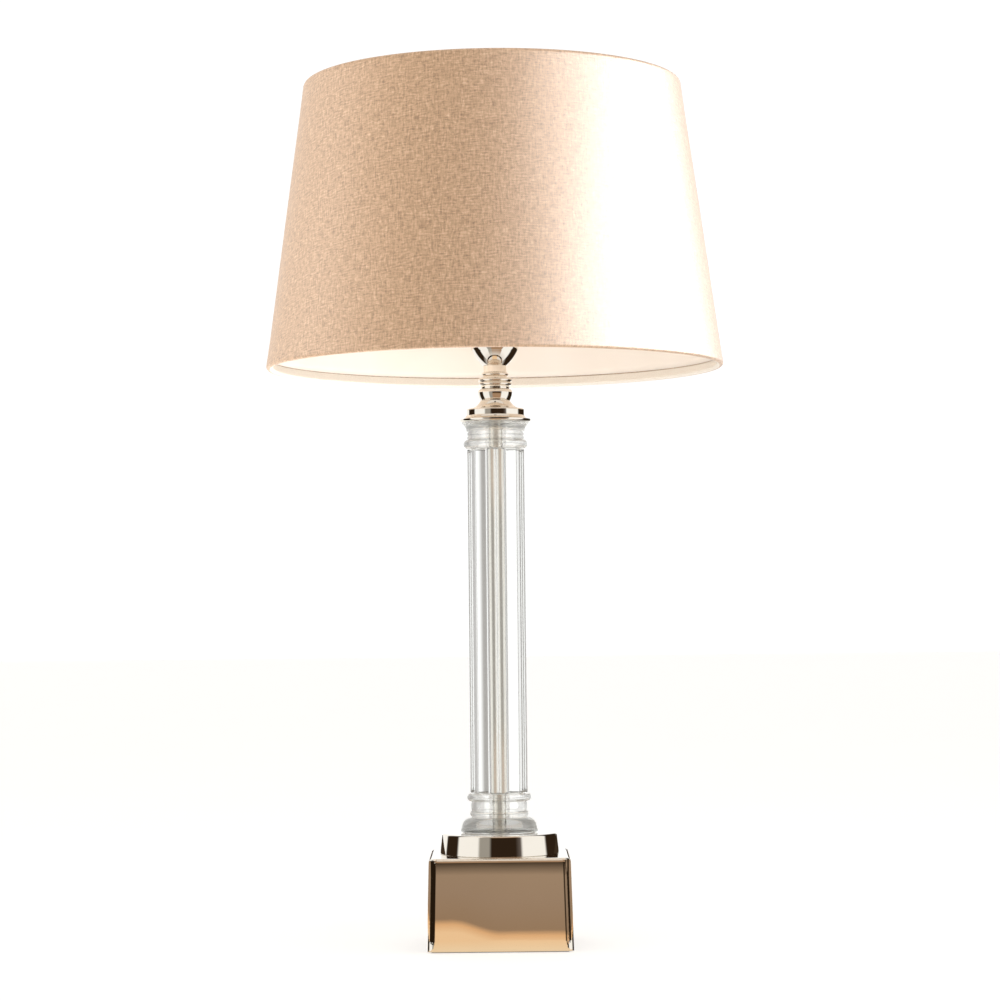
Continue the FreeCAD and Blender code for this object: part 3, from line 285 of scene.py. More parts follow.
# The glass shaft's middle and half its height in metres, with the foot and the collar beyond them, and
# how much of the light goes straight through those two.
SHAFT_MIDDLE = 0.2833
SHAFT_HALF = 0.1508
END_CLEAR = 0.45


def clear_glass(name):
    """Pressed and polished clear glass, with a hint of green and a very slow surface wave. Light falls
    straight through it onto what stands behind, and the thick foot and collar are part clear."""
    material, tree, shader, where = finish_material(name, Transmission_Weight=1.0, IOR=1.5, Roughness=0.0)
    cord = noise(tree, spread(tree, where, (1.0, 1.0, 0.25)), 30.0, 2.0)
    tint = ramp(tree, cord, [(0.3, (0.975, 0.985, 0.975)), (0.7, (0.99, 0.995, 0.99))])
    tree.links.new(tint, shader.inputs["Base Color"])
    tree.links.new(bump(tree, cord, 1.5e-5), shader.inputs["Normal"])
    ray = tree.nodes.new("ShaderNodeLightPath").outputs
    falls = maths(tree, "MAXIMUM", ray["Is Shadow Ray"], ray["Is Diffuse Ray"])
    tall = wire(tree, "ShaderNodeSeparateXYZ", {0: where}).outputs["Z"]
    off_middle = maths(tree, "ABSOLUTE", maths(tree, "SUBTRACT", tall, SHAFT_MIDDLE))
    ends = maths(tree, "GREATER_THAN", off_middle, SHAFT_HALF)
    clear = maths(tree, "MULTIPLY", ends, END_CLEAR)
    straight = wire(tree, "ShaderNodeBsdfTransparent", {"Color": (0.97, 0.97, 0.96, 1.0)})
    both = wire(tree, "ShaderNodeMixShader", {0: maths(tree, "MAXIMUM", falls, clear)})
    tree.links.new(shader.outputs[0], both.inputs[1])
    tree.links.new(straight.outputs[0], both.inputs[2])
    end = next(node for node in tree.nodes if node.bl_idname == "ShaderNodeOutputMaterial")
    tree.links.new(both.outputs[0], end.inputs["Surface"])
    return material


def frosted_glass(name):
    """White frosted bulb glass."""
    material, tree, shader, where = finish_material(name, Transmission_Weight=0.35, IOR=1.45,
                                                    Subsurface_Weight=0.2)
    frost = noise(tree, where, 900.0, 3.0)
    tree.links.new(ramp(tree, frost, [(0.3, grey(0.86)), (0.7, grey(0.93))]), shader.inputs["Base Color"])
    tree.links.new(ramp(tree, frost, [(0.3, grey(0.3)), (0.7, grey(0.42))]), shader.inputs["Roughness"])
    tree.links.new(bump(tree, frost, 1e-5), shader.inputs["Normal"])
    return material


# Width of one thread on the flat cut.
THREAD = 0.8 * MM


def linen(name):
    """Slub linen, on the cover's flat cut: warp and weft threads that pass over and under each other,
    thick and thin places along each thread, and single darker or paler threads."""
    material, tree, shader, _ = finish_material(name, Roughness=0.55, Sheen_Weight=0.2,
                                                Sheen_Roughness=0.5, Specular_IOR_Level=1.0,
                                                Coat_Weight=0.5, Coat_Roughness=0.6, Coat_IOR=1.7)
    flat = wire(tree, "ShaderNodeUVMap", uv_map="flat_cut").outputs[0]
    sag = noise(tree, flat, 55.0, 2.0)
    drift = wire(tree, "ShaderNodeCombineXYZ", {"X": maths(tree, "MULTIPLY", sag, 0.004),
                                                "Y": maths(tree, "MULTIPLY", sag, 0.003)}).outputs[0]
    swim = wire(tree, "ShaderNodeVectorMath", {0: flat, 1: drift}, operation="ADD").outputs[0]
    parts = wire(tree, "ShaderNodeSeparateXYZ", {0: swim})
    turn = math.pi / THREAD
    warp = maths(tree, "SINE", maths(tree, "MULTIPLY", parts.outputs["X"], turn))
    weft = maths(tree, "SINE", maths(tree, "MULTIPLY", parts.outputs["Y"], turn))
    over = maths(tree, "MULTIPLY_ADD", maths(tree, "MULTIPLY", warp, weft), 0.5)
    weft_slub = noise(tree, spread(tree, swim, (130.0, 760.0, 1.0)), 1.0, 3.0, 0.6)
    warp_slub = noise(tree, spread(tree, swim, (700.0, 110.0, 1.0)), 1.0, 3.0, 0.6)
    fleck = noise(tree, spread(tree, swim, (420.0, 470.0, 1.0)), 1.0, 3.0, 0.7)
    slub = maths(tree, "ADD", maths(tree, "MULTIPLY", weft_slub, 0.36),
                 maths(tree, "MULTIPLY", warp_slub, 0.36))
    tone = maths(tree, "ADD", slub, maths(tree, "MULTIPLY", fleck, 0.28))
    colour = ramp(tree, tone, [(0.36, (0.27, 0.135, 0.055)), (0.46, (0.50, 0.285, 0.14)),
                               (0.54, (0.66, 0.405, 0.22)), (0.66, (0.88, 0.64, 0.42))])
    tree.links.new(colour, shader.inputs["Base Color"])
    thread = maths(tree, "ADD", maths(tree, "MULTIPLY", over, 0.4), maths(tree, "MULTIPLY", tone, 1.4))
    tree.links.new(bump(tree, thread, 2.2e-4, 0.9), shader.inputs["Normal"])
    return material


def lining_sheet(name):
    """White styrene lining with a faint paper tooth. Its warm cream tint is painted light, for the light
    that shines through the linen onto it.
    """
    material, tree, shader, where = finish_material(name, Specular_IOR_Level=0.25)
    tooth = noise(tree, where, 1500.0, 3.0)
    cloud = noise(tree, where, 14.0, 2.0)
    # Warm cream rather than white: painted light shining through the linen.
    tree.links.new(ramp(tree, cloud, [(0.3, (0.89, 0.80, 0.71)), (0.7, (0.92, 0.84, 0.76))]),
                   shader.inputs["Base Color"])
    tree.links.new(ramp(tree, tooth, [(0.3, grey(0.55)), (0.7, grey(0.7))]), shader.inputs["Roughness"])
    tree.links.new(bump(tree, tooth, 1e-5), shader.inputs["Normal"])
    return material


def felt_cloth(name):
    """Dark pressed felt: tangled fibres as two noises."""
    material, tree, shader, where = finish_material(name, Roughness=0.95, Sheen_Weight=0.4)
    fibre = noise(tree, where, 2200.0, 5.0, 0.7)
    clump = noise(tree, where, 350.0, 3.0)
    tone = maths(tree, "ADD", maths(tree, "MULTIPLY", fibre, 0.6), maths(tree, "MULTIPLY", clump, 0.4))
    tree.links.new(ramp(tree, tone, [(0.3, (0.012, 0.010, 0.009)), (0.7, (0.05, 0.045, 0.04))]),
                   shader.inputs["Base Color"])
    tree.links.new(bump(tree, tone, 2e-4), shader.inputs["Normal"])
    return material


FINISHES = {
    "nickel": polished_metal("polished_nickel", (0.80, 0.735, 0.65), (0.84, 0.775, 0.69), 0.015, 0.05),
    "sleeve_nickel": polished_metal("sleeve_polish", (0.78, 0.75, 0.70), (0.82, 0.79, 0.74), 0.05, 0.1),
    "zinc_steel": plain_metal("zinc_plate", (0.50, 0.51, 0.53), (0.62, 0.63, 0.64), 0.25, 0.45),
    "cast_iron": plain_metal("cast_skin", (0.05, 0.05, 0.052), (0.10, 0.10, 0.10), 0.6, 0.85, 60.0, 2e-4),
    "brass": plain_metal("drawn_brass", (0.66, 0.47, 0.20), (0.78, 0.58, 0.28), 0.18, 0.35),
    "cap_metal": plain_metal("cap_spun", (0.66, 0.67, 0.68), (0.76, 0.77, 0.78), 0.2, 0.35),
    "clear_glass": clear_glass("pressed_glass"),
    "frosted_glass": frosted_glass("bulb_frost"),
    "linen": linen("slub_linen"),
    # The hems' pale cream is painted light: it stands in for strong light on the linen flaps inside the
    # shade.
    "pale_hem_painted_light": moulded("pale_hem_painted_light", (0.80, 0.72, 0.62), (0.88, 0.81, 0.72), 0.6, 0.8, 900.0, 4e-5),
    "lining": lining_sheet("white_lining_painted_glow"),
    "white_wire": moulded("white_wire_paint", (0.78, 0.77, 0.74), (0.84, 0.83, 0.80), 0.35, 0.5),
    "felt": felt_cloth("base_felt"),
    "gasket": moulded("white_gasket", (0.86, 0.86, 0.84), (0.93, 0.93, 0.91), 0.3, 0.45,
                      Transmission_Weight=0.3, IOR=1.42),
    "bush_plastic": moulded("bush_black", (0.012, 0.012, 0.012), (0.03, 0.03, 0.03), 0.45, 0.6),
    "phenolic": moulded("phenolic_black", (0.010, 0.008, 0.008), (0.022, 0.018, 0.017), 0.15, 0.3),
    "fibre": moulded("pressed_fibre", (0.30, 0.21, 0.13), (0.42, 0.31, 0.20), 0.7, 0.9, 400.0, 6e-5),
}


def settle(piece, body, slot_name, *nodes):
    """Gives a piece its finish and its body, and hides the CAD nodes it stands for."""
    piece.data.materials.append(FINISHES[slot_name])
    if nodes:
        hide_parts(*nodes)
    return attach(piece, body)


# ---- polished base ---------------------------------------------------------------------------------

BORE = 5.3
SLEEVE_BORE = 6.3


def plinth_piece():
    """Disc with drafted side; its section in mm is that of the CAD node, with eased edges."""
    return turned("plinth_turned", "plinth_disc", [
        (BORE, 0), (13.0, 0), (13.0, 14.5), (46.6, 14.5), (48.5, 0), (52.0, 0),
        (50.1, 16.4, BULGE, 1.6), (48.5, 18.0), (BORE, 18.0),
    ])


# ---- glass column ----------------------------------------------------------------------------------


def foot_piece():
    """Spreading foot with a bead at its waist and a ring at its top."""
    return turned("foot_glass", "glass_foot", [
        (SLEEVE_BORE, 0), (33.0, 0), (34.0, 1.0), (32.6, 6.0, BULGE, 8.0), (25.8, 12.6), (23.95, 12.6),
        (23.95, 13.5), (24.4, 13.5, BULGE, 3.0), (24.4, 18.5), (23.95, 18.5, BULGE, 12.0), (23.95, 27.2),
        (25.6, 27.2, BULGE, 3.4), (25.6, 33.8), (SLEEVE_BORE, 33.8),
    ], 0.3)


def collar_piece():
    """Ring, two half-round beads and a cove out to the flange."""
    return turned("collar_glass", "glass_collar", [
        (SLEEVE_BORE, 0), (25.0, 0, BULGE, 4.1), (25.0, 8.0), (24.4, 8.0, BULGE, 2.4),
        (24.4, 11.3, BULGE, 2.4), (24.4, 14.6), (23.95, 14.6), (23.95, 15.5), (25.6, 15.5, COVE, 9.0),
        (30.0, 22.6), (SLEEVE_BORE, 22.6),
    ], 0.3)


def shaft_piece():
    """Rod with eight broad flutes: in each flute's sector the radius is that of the cutter's circle,
    r = h cos a - sqrt(c^2 - (h sin a)^2), with the cutter's radius c at a distance h from the axis."""
    flutes, radius, sag, tall, lip = 8, 25.0, 0.8, 301.0, 0.35
    half_chord = radius * math.sin(math.pi / flutes)
    cutter = (half_chord ** 2 + sag ** 2) / (2 * sag)
    reach = radius * math.cos(math.pi / flutes) - sag + cutter
    angle = np.linspace(0, 2 * math.pi, flutes * 56, endpoint=False)
    off = (angle * flutes / (2 * math.pi)) % 1.0 * 2 * math.pi / flutes - math.pi / flutes
    wall = reach * np.cos(off) - np.sqrt(cutter ** 2 - (reach * np.sin(off)) ** 2)
    stations = [(0.0, lip, 0.0), (1.0, 0.0, lip), (1.0, 0.0, lip * 1.6), (1.0, 0.0, tall / 2),
                (1.0, 0.0, tall - lip * 1.6), (1.0, 0.0, tall - lip), (0.0, lip, tall)]
    rows = [wall - (lip if not full else 0.0) for full, _, _ in stations]
    heights = [height for _, _, height in stations]
    bore = np.full_like(wall, SLEEVE_BORE)
    near = np.full_like(wall, SLEEVE_BORE + 0.3)
    outer = [wall - lip - 0.5, *rows, wall - lip - 0.5]
    outer_z = [0.0, *heights, tall]
    inner = [near, bore, bore, bore, near]
    inner_z = [tall, tall - 0.3, tall / 2, 0.3, 0.0]
    table = np.array(outer + inner)
    z = np.array(outer_z + inner_z)[:, None] + level("glass_shaft")
    return around("shaft_glass", table, np.broadcast_to(z, table.shape), angle)


def sleeve_piece():
    """Thin polished tube that shows through the glass."""
    return turned("sleeve_polished", "tube_sleeve", [(5.2, 0), (6.0, 0), (6.0, 359.5), (5.2, 359.5)], 0.15)


# ---- turned neck -----------------------------------------------------------------------------------


def flange_piece():
    """Wide rounded brim, a cove, a band and a hollow up to the neck."""
    return turned("flange_turned", "cap_flange", [
        (BORE, 0), (29.4, 0, BULGE, 1.96), (31.2, 1.4), (31.2, 2.6, COVE, 7.0), (25.6, 6.0),
        (25.6, 10.6, BULGE, 1.2), (24.4, 11.8, COVE, 14.0), (13.0, 19.2), (BORE, 19.2),
    ], 0.25)


def bulb_piece():
    """Swelling lowest part of the neck."""
    return turned("neck_bulb_turned", "neck_bulb", [
        (BORE, 0), (13.0, 0, BULGE, 18.0), (15.2, 7.2, BULGE, 3.6), (13.2, 10.2), (BORE, 10.2)], 0.2)


def ring_piece():
    """Plain band under two round rings."""
    return turned("neck_ring_turned", "neck_ring", [
        (BORE, 0), (12.6, 0), (12.6, 3.0), (13.4, 3.0, BULGE, 1.85), (13.4, 6.4),
        (13.8, 6.4, BULGE, 1.85), (13.8, 9.8), (BORE, 9.8)], 0.2)


def spool_piece():
    """Narrow spool with one round ring at its foot."""
    return turned("neck_spool_turned", "neck_spool", [
        (BORE, 0), (10.8, 0), (10.4, 1.4, BULGE, 1.85), (10.4, 5.0), (10.1, 5.0), (10.1, 10.9),
        (BORE, 10.9)], 0.2)


def cup_piece():
    """Thin candle cup, open at the top."""
    return turned("cup_spun", "socket_cup", [
        (BORE, 0), (10.3, 0, BULGE, 40.0), (19.8, 12.4, BULGE, 9.0), (21.0, 17.0), (21.0, 22.0),
        (19.5, 22.0), (19.5, 17.0, COVE, 9.0), (18.3, 12.4, COVE, 40.0), (13.0, 3.0), (BORE, 3.0)], 0.4)


for made, slot_name, node in [
    (plinth_piece(), "nickel", "plinth_disc"),
    (foot_piece(), "clear_glass", "glass_foot"),
    (shaft_piece(), "clear_glass", "glass_shaft"),
    (collar_piece(), "clear_glass", "glass_collar"),
    (sleeve_piece(), "sleeve_nickel", "tube_sleeve"),
    (flange_piece(), "nickel", "cap_flange"),
    (bulb_piece(), "nickel", "neck_bulb"),
    (ring_piece(), "nickel", "neck_ring"),
    (spool_piece(), "nickel", "neck_spool"),
    (cup_piece(), "nickel", "socket_cup"),
]:
    settle(made, "stand", slot_name, node)


# ---- shade -----------------------------------------------------------------------------------------

SHADE_BOTTOM = 201.4
SHADE_TOP = 166.5
SHADE_TALL = 252.5
CLOTH = 0.8
ROLL = 3.0
ROLL_TURN = math.pi * 0.93
HEM_TALL = 9.0
SEAM_STEP = 0.5
SEAM_WIDE = 9.0
LINING_EDGE = 9.6
LINING_GAP = 0.35
LINING_THICK = 0.5
SLOPE = (SHADE_BOTTOM - SHADE_TOP) / SHADE_TALL


def hem_path(way):
    """Half of the cover's path in mm, from the wall round a hem's wire to the end of its flap: the wall
    runs to the roll, which turns about the wire's centre at radius ROLL, and the flap leans back to the
    wall. way is 1 for the upper hem and -1 for the lower one, and the rim is at height 0."""
    turn = np.linspace(0, ROLL_TURN, 26)
    out = -ROLL + ROLL * np.cos(turn)
    up = way * (ROLL * np.sin(turn) - ROLL)
    end = np.array([[-2.6 * CLOTH, -way * HEM_TALL]])
    fall = np.linspace(0.15, 1, 8)[:, None]
    roll = np.stack([out, up], 1)
    return np.vstack([roll, roll[-1:] * (1 - fall) + end * fall])


def cover_piece():
    """The cloth cone as one path (out from the wall's line, height) carried round the axis: flap, upper
    roll, wall, lower roll, flap, then back along the same path one cloth thickness inside. The radius
    at a height is SHADE_BOTTOM - SLOPE * height. A lapped seam at the back adds a step of 0.5 mm, and
    slow waves of a tenth of a millimetre keep the wall from being perfect."""
    top = hem_path(1) + [0, SHADE_TALL]
    low = hem_path(-1)
    wall_z = np.linspace(SHADE_TALL - ROLL, ROLL, 60)[1:-1]
    wall = np.stack([np.zeros_like(wall_z), wall_z], 1)
    path = np.vstack([top[::-1], wall, low])
    along = np.gradient(path, axis=0)
    along /= np.hypot(along[:, 0], along[:, 1])[:, None]
    inside = path + CLOTH * np.stack([along[:, 1], -along[:, 0]], 1)
    loop = np.vstack([path, inside[::-1]])
    columns = 720
    angle = np.linspace(0, 2 * math.pi, columns, endpoint=False)
    height = np.repeat(loop[:, 1:], columns, 1)
    radius = SHADE_BOTTOM - SLOPE * height + loop[:, :1]
    from_seam = ((angle - math.pi / 2 + math.pi) % (2 * math.pi) - math.pi) * SHADE_BOTTOM
    lap = SEAM_STEP / (1 + np.exp(np.clip(-from_seam / 0.35, -60, 60))) * (from_seam < SEAM_WIDE)
    middle = np.clip(height / 30, 0, 1) * np.clip((SHADE_TALL - height) / 30, 0, 1)
    wave = 0.10 * np.sin(9 * angle + height / 60) + 0.07 * np.sin(17 * angle - height / 38)
    radius = radius + middle * (wave + lap - 0.25)
    piece = around("linen_cover", radius, height + level("shade_cover"), angle)
    steps = np.hypot(*np.diff(path, axis=0).T)
    add_flat_cut(piece, angle, np.concatenate([np.zeros(1), np.cumsum(steps)]), len(path))
    return piece


def paint_hem_light(mesh):
    """The hems are painted pale cream where the cloth turns inside the shade: painted light, for the
    strong light on the linen flaps. These are the faces of the hems whose middle lies more than 3.4 mm
    inside the wall's line, or beyond the turn of the rim."""
    mesh.materials.append(FINISHES["pale_hem_painted_light"])
    middle = np.empty(len(mesh.polygons) * 3, np.float32)
    mesh.polygons.foreach_get("center", middle)
    middle = middle.reshape(-1, 3) / MM
    height = middle[:, 2] - level("shade_cover")
    inward = SHADE_BOTTOM - SLOPE * height - np.hypot(middle[:, 0], middle[:, 1])
    from_rim = np.minimum(height, SHADE_TALL - height)
    inner = (inward > 3.4) | ((inward > 1.8) & (from_rim > 4.0))
    # Index 1 gives these faces the pale cream of painted light.
    mesh.polygons.foreach_set("material_index", (inner & (from_rim < 12)).astype(np.int32))
    mesh.update()


def add_flat_cut(piece, angle, length, path_rows):
    """The cover's flat cut as a UV map in metres: a cone unrolls to a ring sector, so a point at a
    distance s along the path and an angle a from the front lies at (q sin(a k), q cos(a k)), with q the
    distance to the cone's tip and k the sine of its half angle."""
    tilt = math.sin(math.atan(SLOPE))
    rows = np.concatenate([np.arange(path_rows), np.arange(path_rows)[::-1]])
    from_tip = SHADE_TOP / tilt - length[path_rows // 2] / 2 + length[rows]
    front = (angle + math.pi / 2 + math.pi) % (2 * math.pi) - math.pi
    u = from_tip[:, None] * np.sin(front * tilt) * MM
    v = -from_tip[:, None] * np.cos(front * tilt) * MM
    flat = np.stack([u, v], -1).reshape(-1, 2)
    mesh = piece.data
    corners = np.empty(len(mesh.loops), np.int32)
    mesh.loops.foreach_get("vertex_index", corners)
    layer = mesh.uv_layers.new(name="flat_cut")
    layer.data.foreach_set("uv", flat[corners].astype(np.float32).ravel())


def lining_piece():
    """The lining, a plain cone sheet just inside the cloth between the hems."""
    low, high = LINING_EDGE, SHADE_TALL - LINING_EDGE
    z = np.concatenate([np.linspace(low, high, 40), np.linspace(high, low, 40)])
    depth = np.repeat([CLOTH + LINING_GAP, CLOTH + LINING_GAP + LINING_THICK], 40)
    angle = np.linspace(0, 2 * math.pi, 360, endpoint=False)
    height = np.repeat(z[:, None], 360, 1)
    radius = SHADE_BOTTOM - SLOPE * height - depth[:, None]
    return around("lining_sheet", radius, height + level("shade_cover"), angle)


cover = settle(cover_piece(), "shade", "linen", "shade_cover")
paint_hem_light(cover.data)
lining_cone = settle(lining_piece(), "shade", "lining", "shade_lining")

# ---- felt ------------------------------------------------------------------------------------------


def felt_piece():
    """Felt slab with rounded edges, its underside slightly pillowed towards the rim."""
    half = 59.6
    stations = [(8, 1, 0.0), (half - 2.0, 2.0, 0.0), (half - 0.5, 2.6, 0.15), (half, 3.0, 0.6),
                (half, 3.0, 1.5), (half - 0.4, 2.8, 1.9), (half - 1.0, 2.4, 2.0), (8, 1, 2.0)]
    return square_shell("felt_sheet", stations, 0.0)


# ---- CAD nodes that show as they are ---------------------------------------------------------------

node_slots = {part["node"]: part["material_slot"] for part in frame["record"]["subparts"]}
for node, item in frame["nodes"].items():
    item.data.materials.clear()
    item.data.materials.append(FINISHES[node_slots[node]])

# ---- studio ----------------------------------------------------------------------------------------

PALE = (1.08, 1.10, 1.10)
DARK = (0.03, 0.018, 0.010)
GOLD = (0.42, 0.27, 0.165)
SOFT = (0.38, 0.37, 0.34)
# Soft boxes and the dark between them, by degrees round from the camera's side.
STUDIO = [(-180, PALE), (-130, PALE), (-126, DARK), (-92, DARK), (-87, PALE), (-44, PALE), (-39, SOFT),
          (-21, SOFT), (-16, DARK), (32, DARK), (42, (0.14, 0.12, 0.11)), (47, PALE), (100, PALE),
          (106, DARK), (156, DARK), (162, PALE), (180, PALE)]
# In metres: the low screen's radius, the middle of the block's rounded corners from the axis, and how far
# the stage pieces lie off the floor.
SCREEN_AWAY = 0.26
BLOCK_CORNER = 0.056
OFF_FLOOR = 0.0001


def mixed(tree, factor, first, second):
    """One colour turning into another as the factor rises."""
    made = wire(tree, "ShaderNodeMix", {"Factor": factor, 6: first, 7: second}, data_type="RGBA")
    return made.outputs[2]


def studio_world():
    """Soft boxes as upright strips for what reflections show, with a pale ceiling and floor beyond them,
    a paler version of the same for what the glass shows, and an even sky for matt surfaces."""
    world = bpy.data.worlds.new("studio")
    bpy.context.scene.world = world
    world.use_nodes = True
    tree = world.node_tree
    tree.nodes.clear()
    heading = tree.nodes.new("ShaderNodeTexCoord").outputs["Generated"]
    way = wire(tree, "ShaderNodeSeparateXYZ", {0: heading})
    azimuth = maths(tree, "ARCTAN2", way.outputs["X"], maths(tree, "MULTIPLY", way.outputs["Y"], -1.0))
    share = wire(tree, "ShaderNodeMapRange", {"Value": azimuth, "From Min": -math.pi,
                                              "From Max": math.pi}).outputs[0]
    bright = (1.06, 1.03, 0.99, 1.0)
    strips = ramp(tree, share, [((angle + 180) / 360, colour) for angle, colour in STUDIO])
    gilded = ramp(tree, share, [((angle + 180) / 360, GOLD if -17 < angle < 43 else colour)
                                for angle, colour in STUDIO])
    rise = maths(tree, "ABSOLUTE", way.outputs["Z"])
    lift = wire(tree, "ShaderNodeMapRange", {"Value": rise, "From Min": 0.20, "From Max": 0.28}).outputs[0]
    strips = mixed(tree, lift, strips, gilded)
    steep = wire(tree, "ShaderNodeMapRange", {"Value": rise, "From Min": 0.72, "From Max": 0.9}).outputs[0]
    room = mixed(tree, steep, strips, (0.86, 0.83, 0.79, 1.0))
    ray = tree.nodes.new("ShaderNodeLightPath").outputs
    through = mixed(tree, 0.35, room, bright)
    inner = mixed(tree, 0.8, room, bright)
    glass = mixed(tree, maths(tree, "GREATER_THAN", ray["Transmission Depth"], 0.5), room, inner)
    glass = mixed(tree, ray["Is Transmission Ray"], glass, through)
    cloth = mixed(tree, ray["Is Diffuse Ray"], glass, (0.52, 0.495, 0.46, 1.0))
    seen = mixed(tree, ray["Is Camera Ray"], cloth, (1.0, 1.0, 1.0, 1.0))
    background = wire(tree, "ShaderNodeBackground", {"Color": seen, "Strength": 1.05})
    tree.links.new(background.outputs[0], tree.nodes.new("ShaderNodeOutputWorld").inputs[0])


def floor():
    """Plain pale floor; the metal and the glass don't see it."""
    half = 30.0
    points = np.array([(-half, -half, -0.0002), (half, -half, -0.0002), (half, half, -0.0002),
                       (-half, half, -0.0002)])
    plane = mesh_piece("floor", points, np.array([[0, 1, 2, 3]]), False)
    material, tree, shader, where = finish_material("pale_floor", Roughness=0.8, Specular_IOR_Level=0.1)
    tree.links.new(ramp(tree, noise(tree, where, 3.0), [(0.3, grey(0.80)), (0.7, grey(0.82))]),
                   shader.inputs["Base Color"])
    shader.inputs["Emission Color"].default_value = (1, 1, 1, 1)
    shader.inputs["Emission Strength"].default_value = 0.5
    plane.data.materials.append(material)
    plane.visible_glossy = False
    plane.visible_transmission = False


def glowing(piece, name, paint):
    """Gives a stage piece a plain glow, of the colour that paint(tree, coordinates) makes, and leaves it
    to show in reflections only."""
    material = bpy.data.materials.new(name)
    material.use_nodes = True
    tree = material.node_tree
    tree.nodes.clear()
    where = tree.nodes.new("ShaderNodeTexCoord").outputs["Object"]
    parts = wire(tree, "ShaderNodeSeparateXYZ", {0: where})
    emission = wire(tree, "ShaderNodeEmission", {"Color": paint(tree, parts.outputs), "Strength": 1.0})
    tree.links.new(emission.outputs[0], tree.nodes.new("ShaderNodeOutputMaterial").inputs[0])
    piece.data.materials.append(material)
    for ray in ("visible_camera", "visible_diffuse", "visible_transmission", "visible_shadow"):
        setattr(piece, ray, False)


def screen_paint(tree, at):
    """Taupe with a warm foot that rises to the left, a dark brow, and dark beyond the block's corners:
    by the angle at which a point of the screen lies from the corner."""
    foot = wire(tree, "ShaderNodeMapRange", {"Value": at["X"], "From Min": -0.045, "From Max": 0.0,
                                             "To Min": 0.016, "To Max": 0.0055},
                interpolation_type="SMOOTHSTEP").outputs[0]
    above = maths(tree, "SUBTRACT", at["Z"], foot)
    front = ramp(tree, maths(tree, "MULTIPLY_ADD", above, 10.0), [
        (0.42, (1.0, 0.70, 0.42)), (0.49, (0.86, 0.52, 0.27)), (0.54, (0.36, 0.245, 0.155)),
        (0.8, (0.385, 0.275, 0.19)), (1.0, (0.40, 0.29, 0.20))])
    corner_y = maths(tree, "MULTIPLY", maths(tree, "ADD", at["Y"], BLOCK_CORNER), -1.0)
    left = maths(tree, "ARCTAN2", maths(tree, "SUBTRACT", -BLOCK_CORNER, at["X"]), corner_y)
    right = maths(tree, "ARCTAN2", maths(tree, "SUBTRACT", at["X"], BLOCK_CORNER), corner_y)
    left_dark = ramp(tree, maths(tree, "DIVIDE", left, math.pi), [
        (0.0, grey(0)), (0.05, grey(0)), (0.075, grey(1)), (0.46, grey(1)), (0.5, grey(0))])
    right_dark = ramp(tree, maths(tree, "DIVIDE", right, math.pi), [
        (0.0, grey(0)), (0.03, grey(0)), (0.045, grey(0.9)), (0.11, grey(0.9)), (0.13, grey(0.1)),
        (0.26, grey(0.2)), (0.3, grey(1)), (0.46, grey(1)), (0.5, grey(0))])
    brow = wire(tree, "ShaderNodeMapRange", {"Value": at["Z"], "From Min": 0.060,
                                             "From Max": 0.072}).outputs[0]
    front = mixed(tree, brow, front, (0.05, 0.033, 0.02, 1.0))
    corner_dark = (0.02, 0.012, 0.006, 1.0)
    return mixed(tree, right_dark, mixed(tree, left_dark, front, corner_dark), corner_dark)


def low_screen():
    """A low screen round the lamp, which only reflections show: what the block mirrors. In front it is
    taupe with a warm foot, and it is dark where the block's rounded corners look."""
    tall, steps = 0.085, 180
    angle = np.linspace(0, 2 * math.pi, steps, endpoint=False)
    circle = SCREEN_AWAY * np.stack([np.cos(angle), np.sin(angle)], 1)
    low = np.hstack([circle, np.full((steps, 1), OFF_FLOOR)])
    high = np.hstack([circle, np.full((steps, 1), tall)])
    column = np.arange(steps)
    after = (column + 1) % steps
    faces = np.stack([column, after, after + steps, column + steps], 1)
    screen = mesh_piece("low_screen", np.vstack([low, high]), faces, False)
    glowing(screen, "low_screen", screen_paint)


def strip_paint(tree, at):
    """Warm, and a little paler towards the block."""
    nearness = wire(tree, "ShaderNodeMapRange", {"Value": at["Y"], "From Min": -SCREEN_AWAY,
                                                 "From Max": -0.06}).outputs[0]
    return ramp(tree, nearness, [(0.0, (1.0, 0.70, 0.42)), (0.75, (1.0, 0.78, 0.52)),
                                 (1.0, (0.9, 0.76, 0.58))])


def warm_strip():
    """The warm table just in front of the block, which only reflections show."""
    half, near = 0.1, 0.055
    points = np.array([(-half, -SCREEN_AWAY, OFF_FLOOR), (half, -SCREEN_AWAY, OFF_FLOOR),
                       (half, -near, OFF_FLOOR), (-half, -near, OFF_FLOOR)])
    strip = mesh_piece("warm_strip", points, np.array([[0, 1, 2, 3]]), False)
    glowing(strip, "warm_strip", strip_paint)


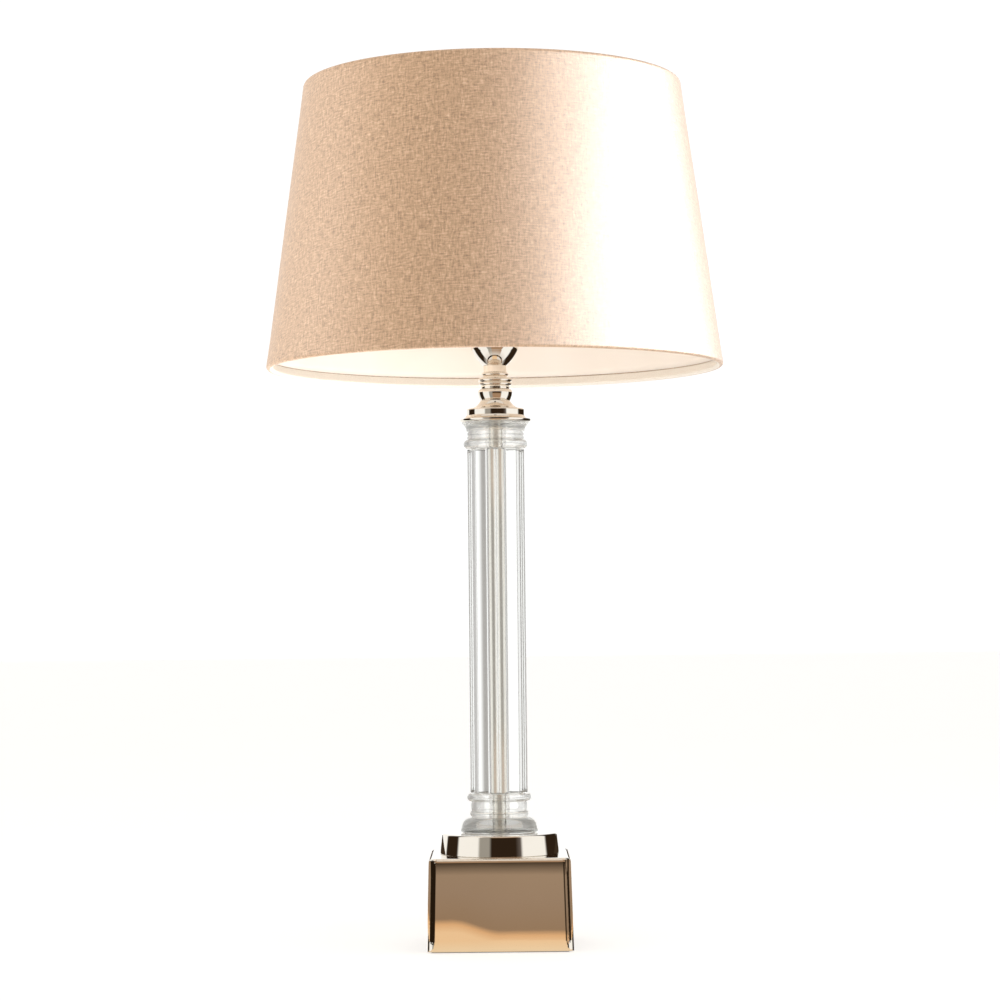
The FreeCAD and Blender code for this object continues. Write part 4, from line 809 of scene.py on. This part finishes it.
def soft_box(name, azimuth, height, distance, size, watts, colour, aim, lit=None, shine_only=False):
    """An area light aimed at a height on the lamp's axis, so many degrees round from the camera's side.
    It lights only the collection lit, where one is given, and polished metal doesn't show it.
    shine_only leaves out what it would add to the cloth's own colour."""
    light = bpy.data.lights.new(name, "AREA")
    light.shape = "RECTANGLE"
    light.size, light.size_y = size
    light.energy = watts
    light.color = colour
    box = bpy.data.objects.new(name, light)
    bpy.context.scene.collection.objects.link(box)
    turn = math.radians(azimuth)
    spot = Vector((math.sin(turn) * distance, -math.cos(turn) * distance, height))
    box.location = spot
    box.rotation_euler = (Vector((0, 0, aim)) - spot).to_track_quat("-Z", "Y").to_euler()
    if lit:
        box.light_linking.receiver_collection = lit
    else:
        box.visible_glossy = False
    box.visible_transmission = False
    box.visible_diffuse = not shine_only


def camera():
    """A long lens at the photograph's height, tilt and lean."""
    lens = bpy.data.cameras.new("camera")
    lens.sensor_width = 36.0
    lens.lens = 104.4
    eye = bpy.data.objects.new("camera", lens)
    bpy.context.scene.collection.objects.link(eye)
    aside, away, height = 3.403 * MM, 2550.5 * MM, 273.4 * MM
    tilt, lean = 0.04546, 0.010214
    place = Matrix.Translation((aside, -away, height))
    aimed = Matrix.Rotation(math.pi / 2 + tilt, 4, "X") @ Matrix.Rotation(-lean, 4, "Z")
    eye.matrix_world = place @ aimed
    bpy.context.scene.camera = eye


settle(felt_piece(), "stand", "felt", "felt_pad")
studio_world()
floor()
low_screen()
warm_strip()
cloth_group = bpy.data.collections.new("shade_pieces")
for piece in (cover, lining_cone):
    cloth_group.objects.link(piece)
soft_box("key", 74, 0.75, 1.9, (1.0, 1.4), 9, (1.0, 0.985, 0.96), 0.6, cloth_group)
soft_box("left", -96, 0.7, 2.0, (1.2, 1.6), 22, (1.0, 0.98, 0.95), 0.6, cloth_group)
soft_box("gloss_near", 52, 0.75, 1.9, (1.0, 1.4), 78, (1.0, 1.0, 1.0), 0.6, cloth_group, True)
soft_box("gloss_far", 95, 0.75, 1.9, (1.0, 1.4), 110, (1.0, 1.0, 1.0), 0.6, cloth_group, True)
soft_box("top", 20, 2.6, 0.6, (1.5, 1.5), 10, (1.0, 1.0, 1.0), 0.3)
soft_box("under", -90, 0.30, 0.08, (0.2, 0.3), 0.6, (1.0, 1.0, 1.0), 1.2, cloth_group)
# This one points up and outwards instead, at the inside of the shade.
bpy.data.objects["under"].rotation_euler = (0, math.radians(150), 0)
camera()

view = bpy.context.scene.view_settings
view.view_transform = "Standard"
view.look = "None"
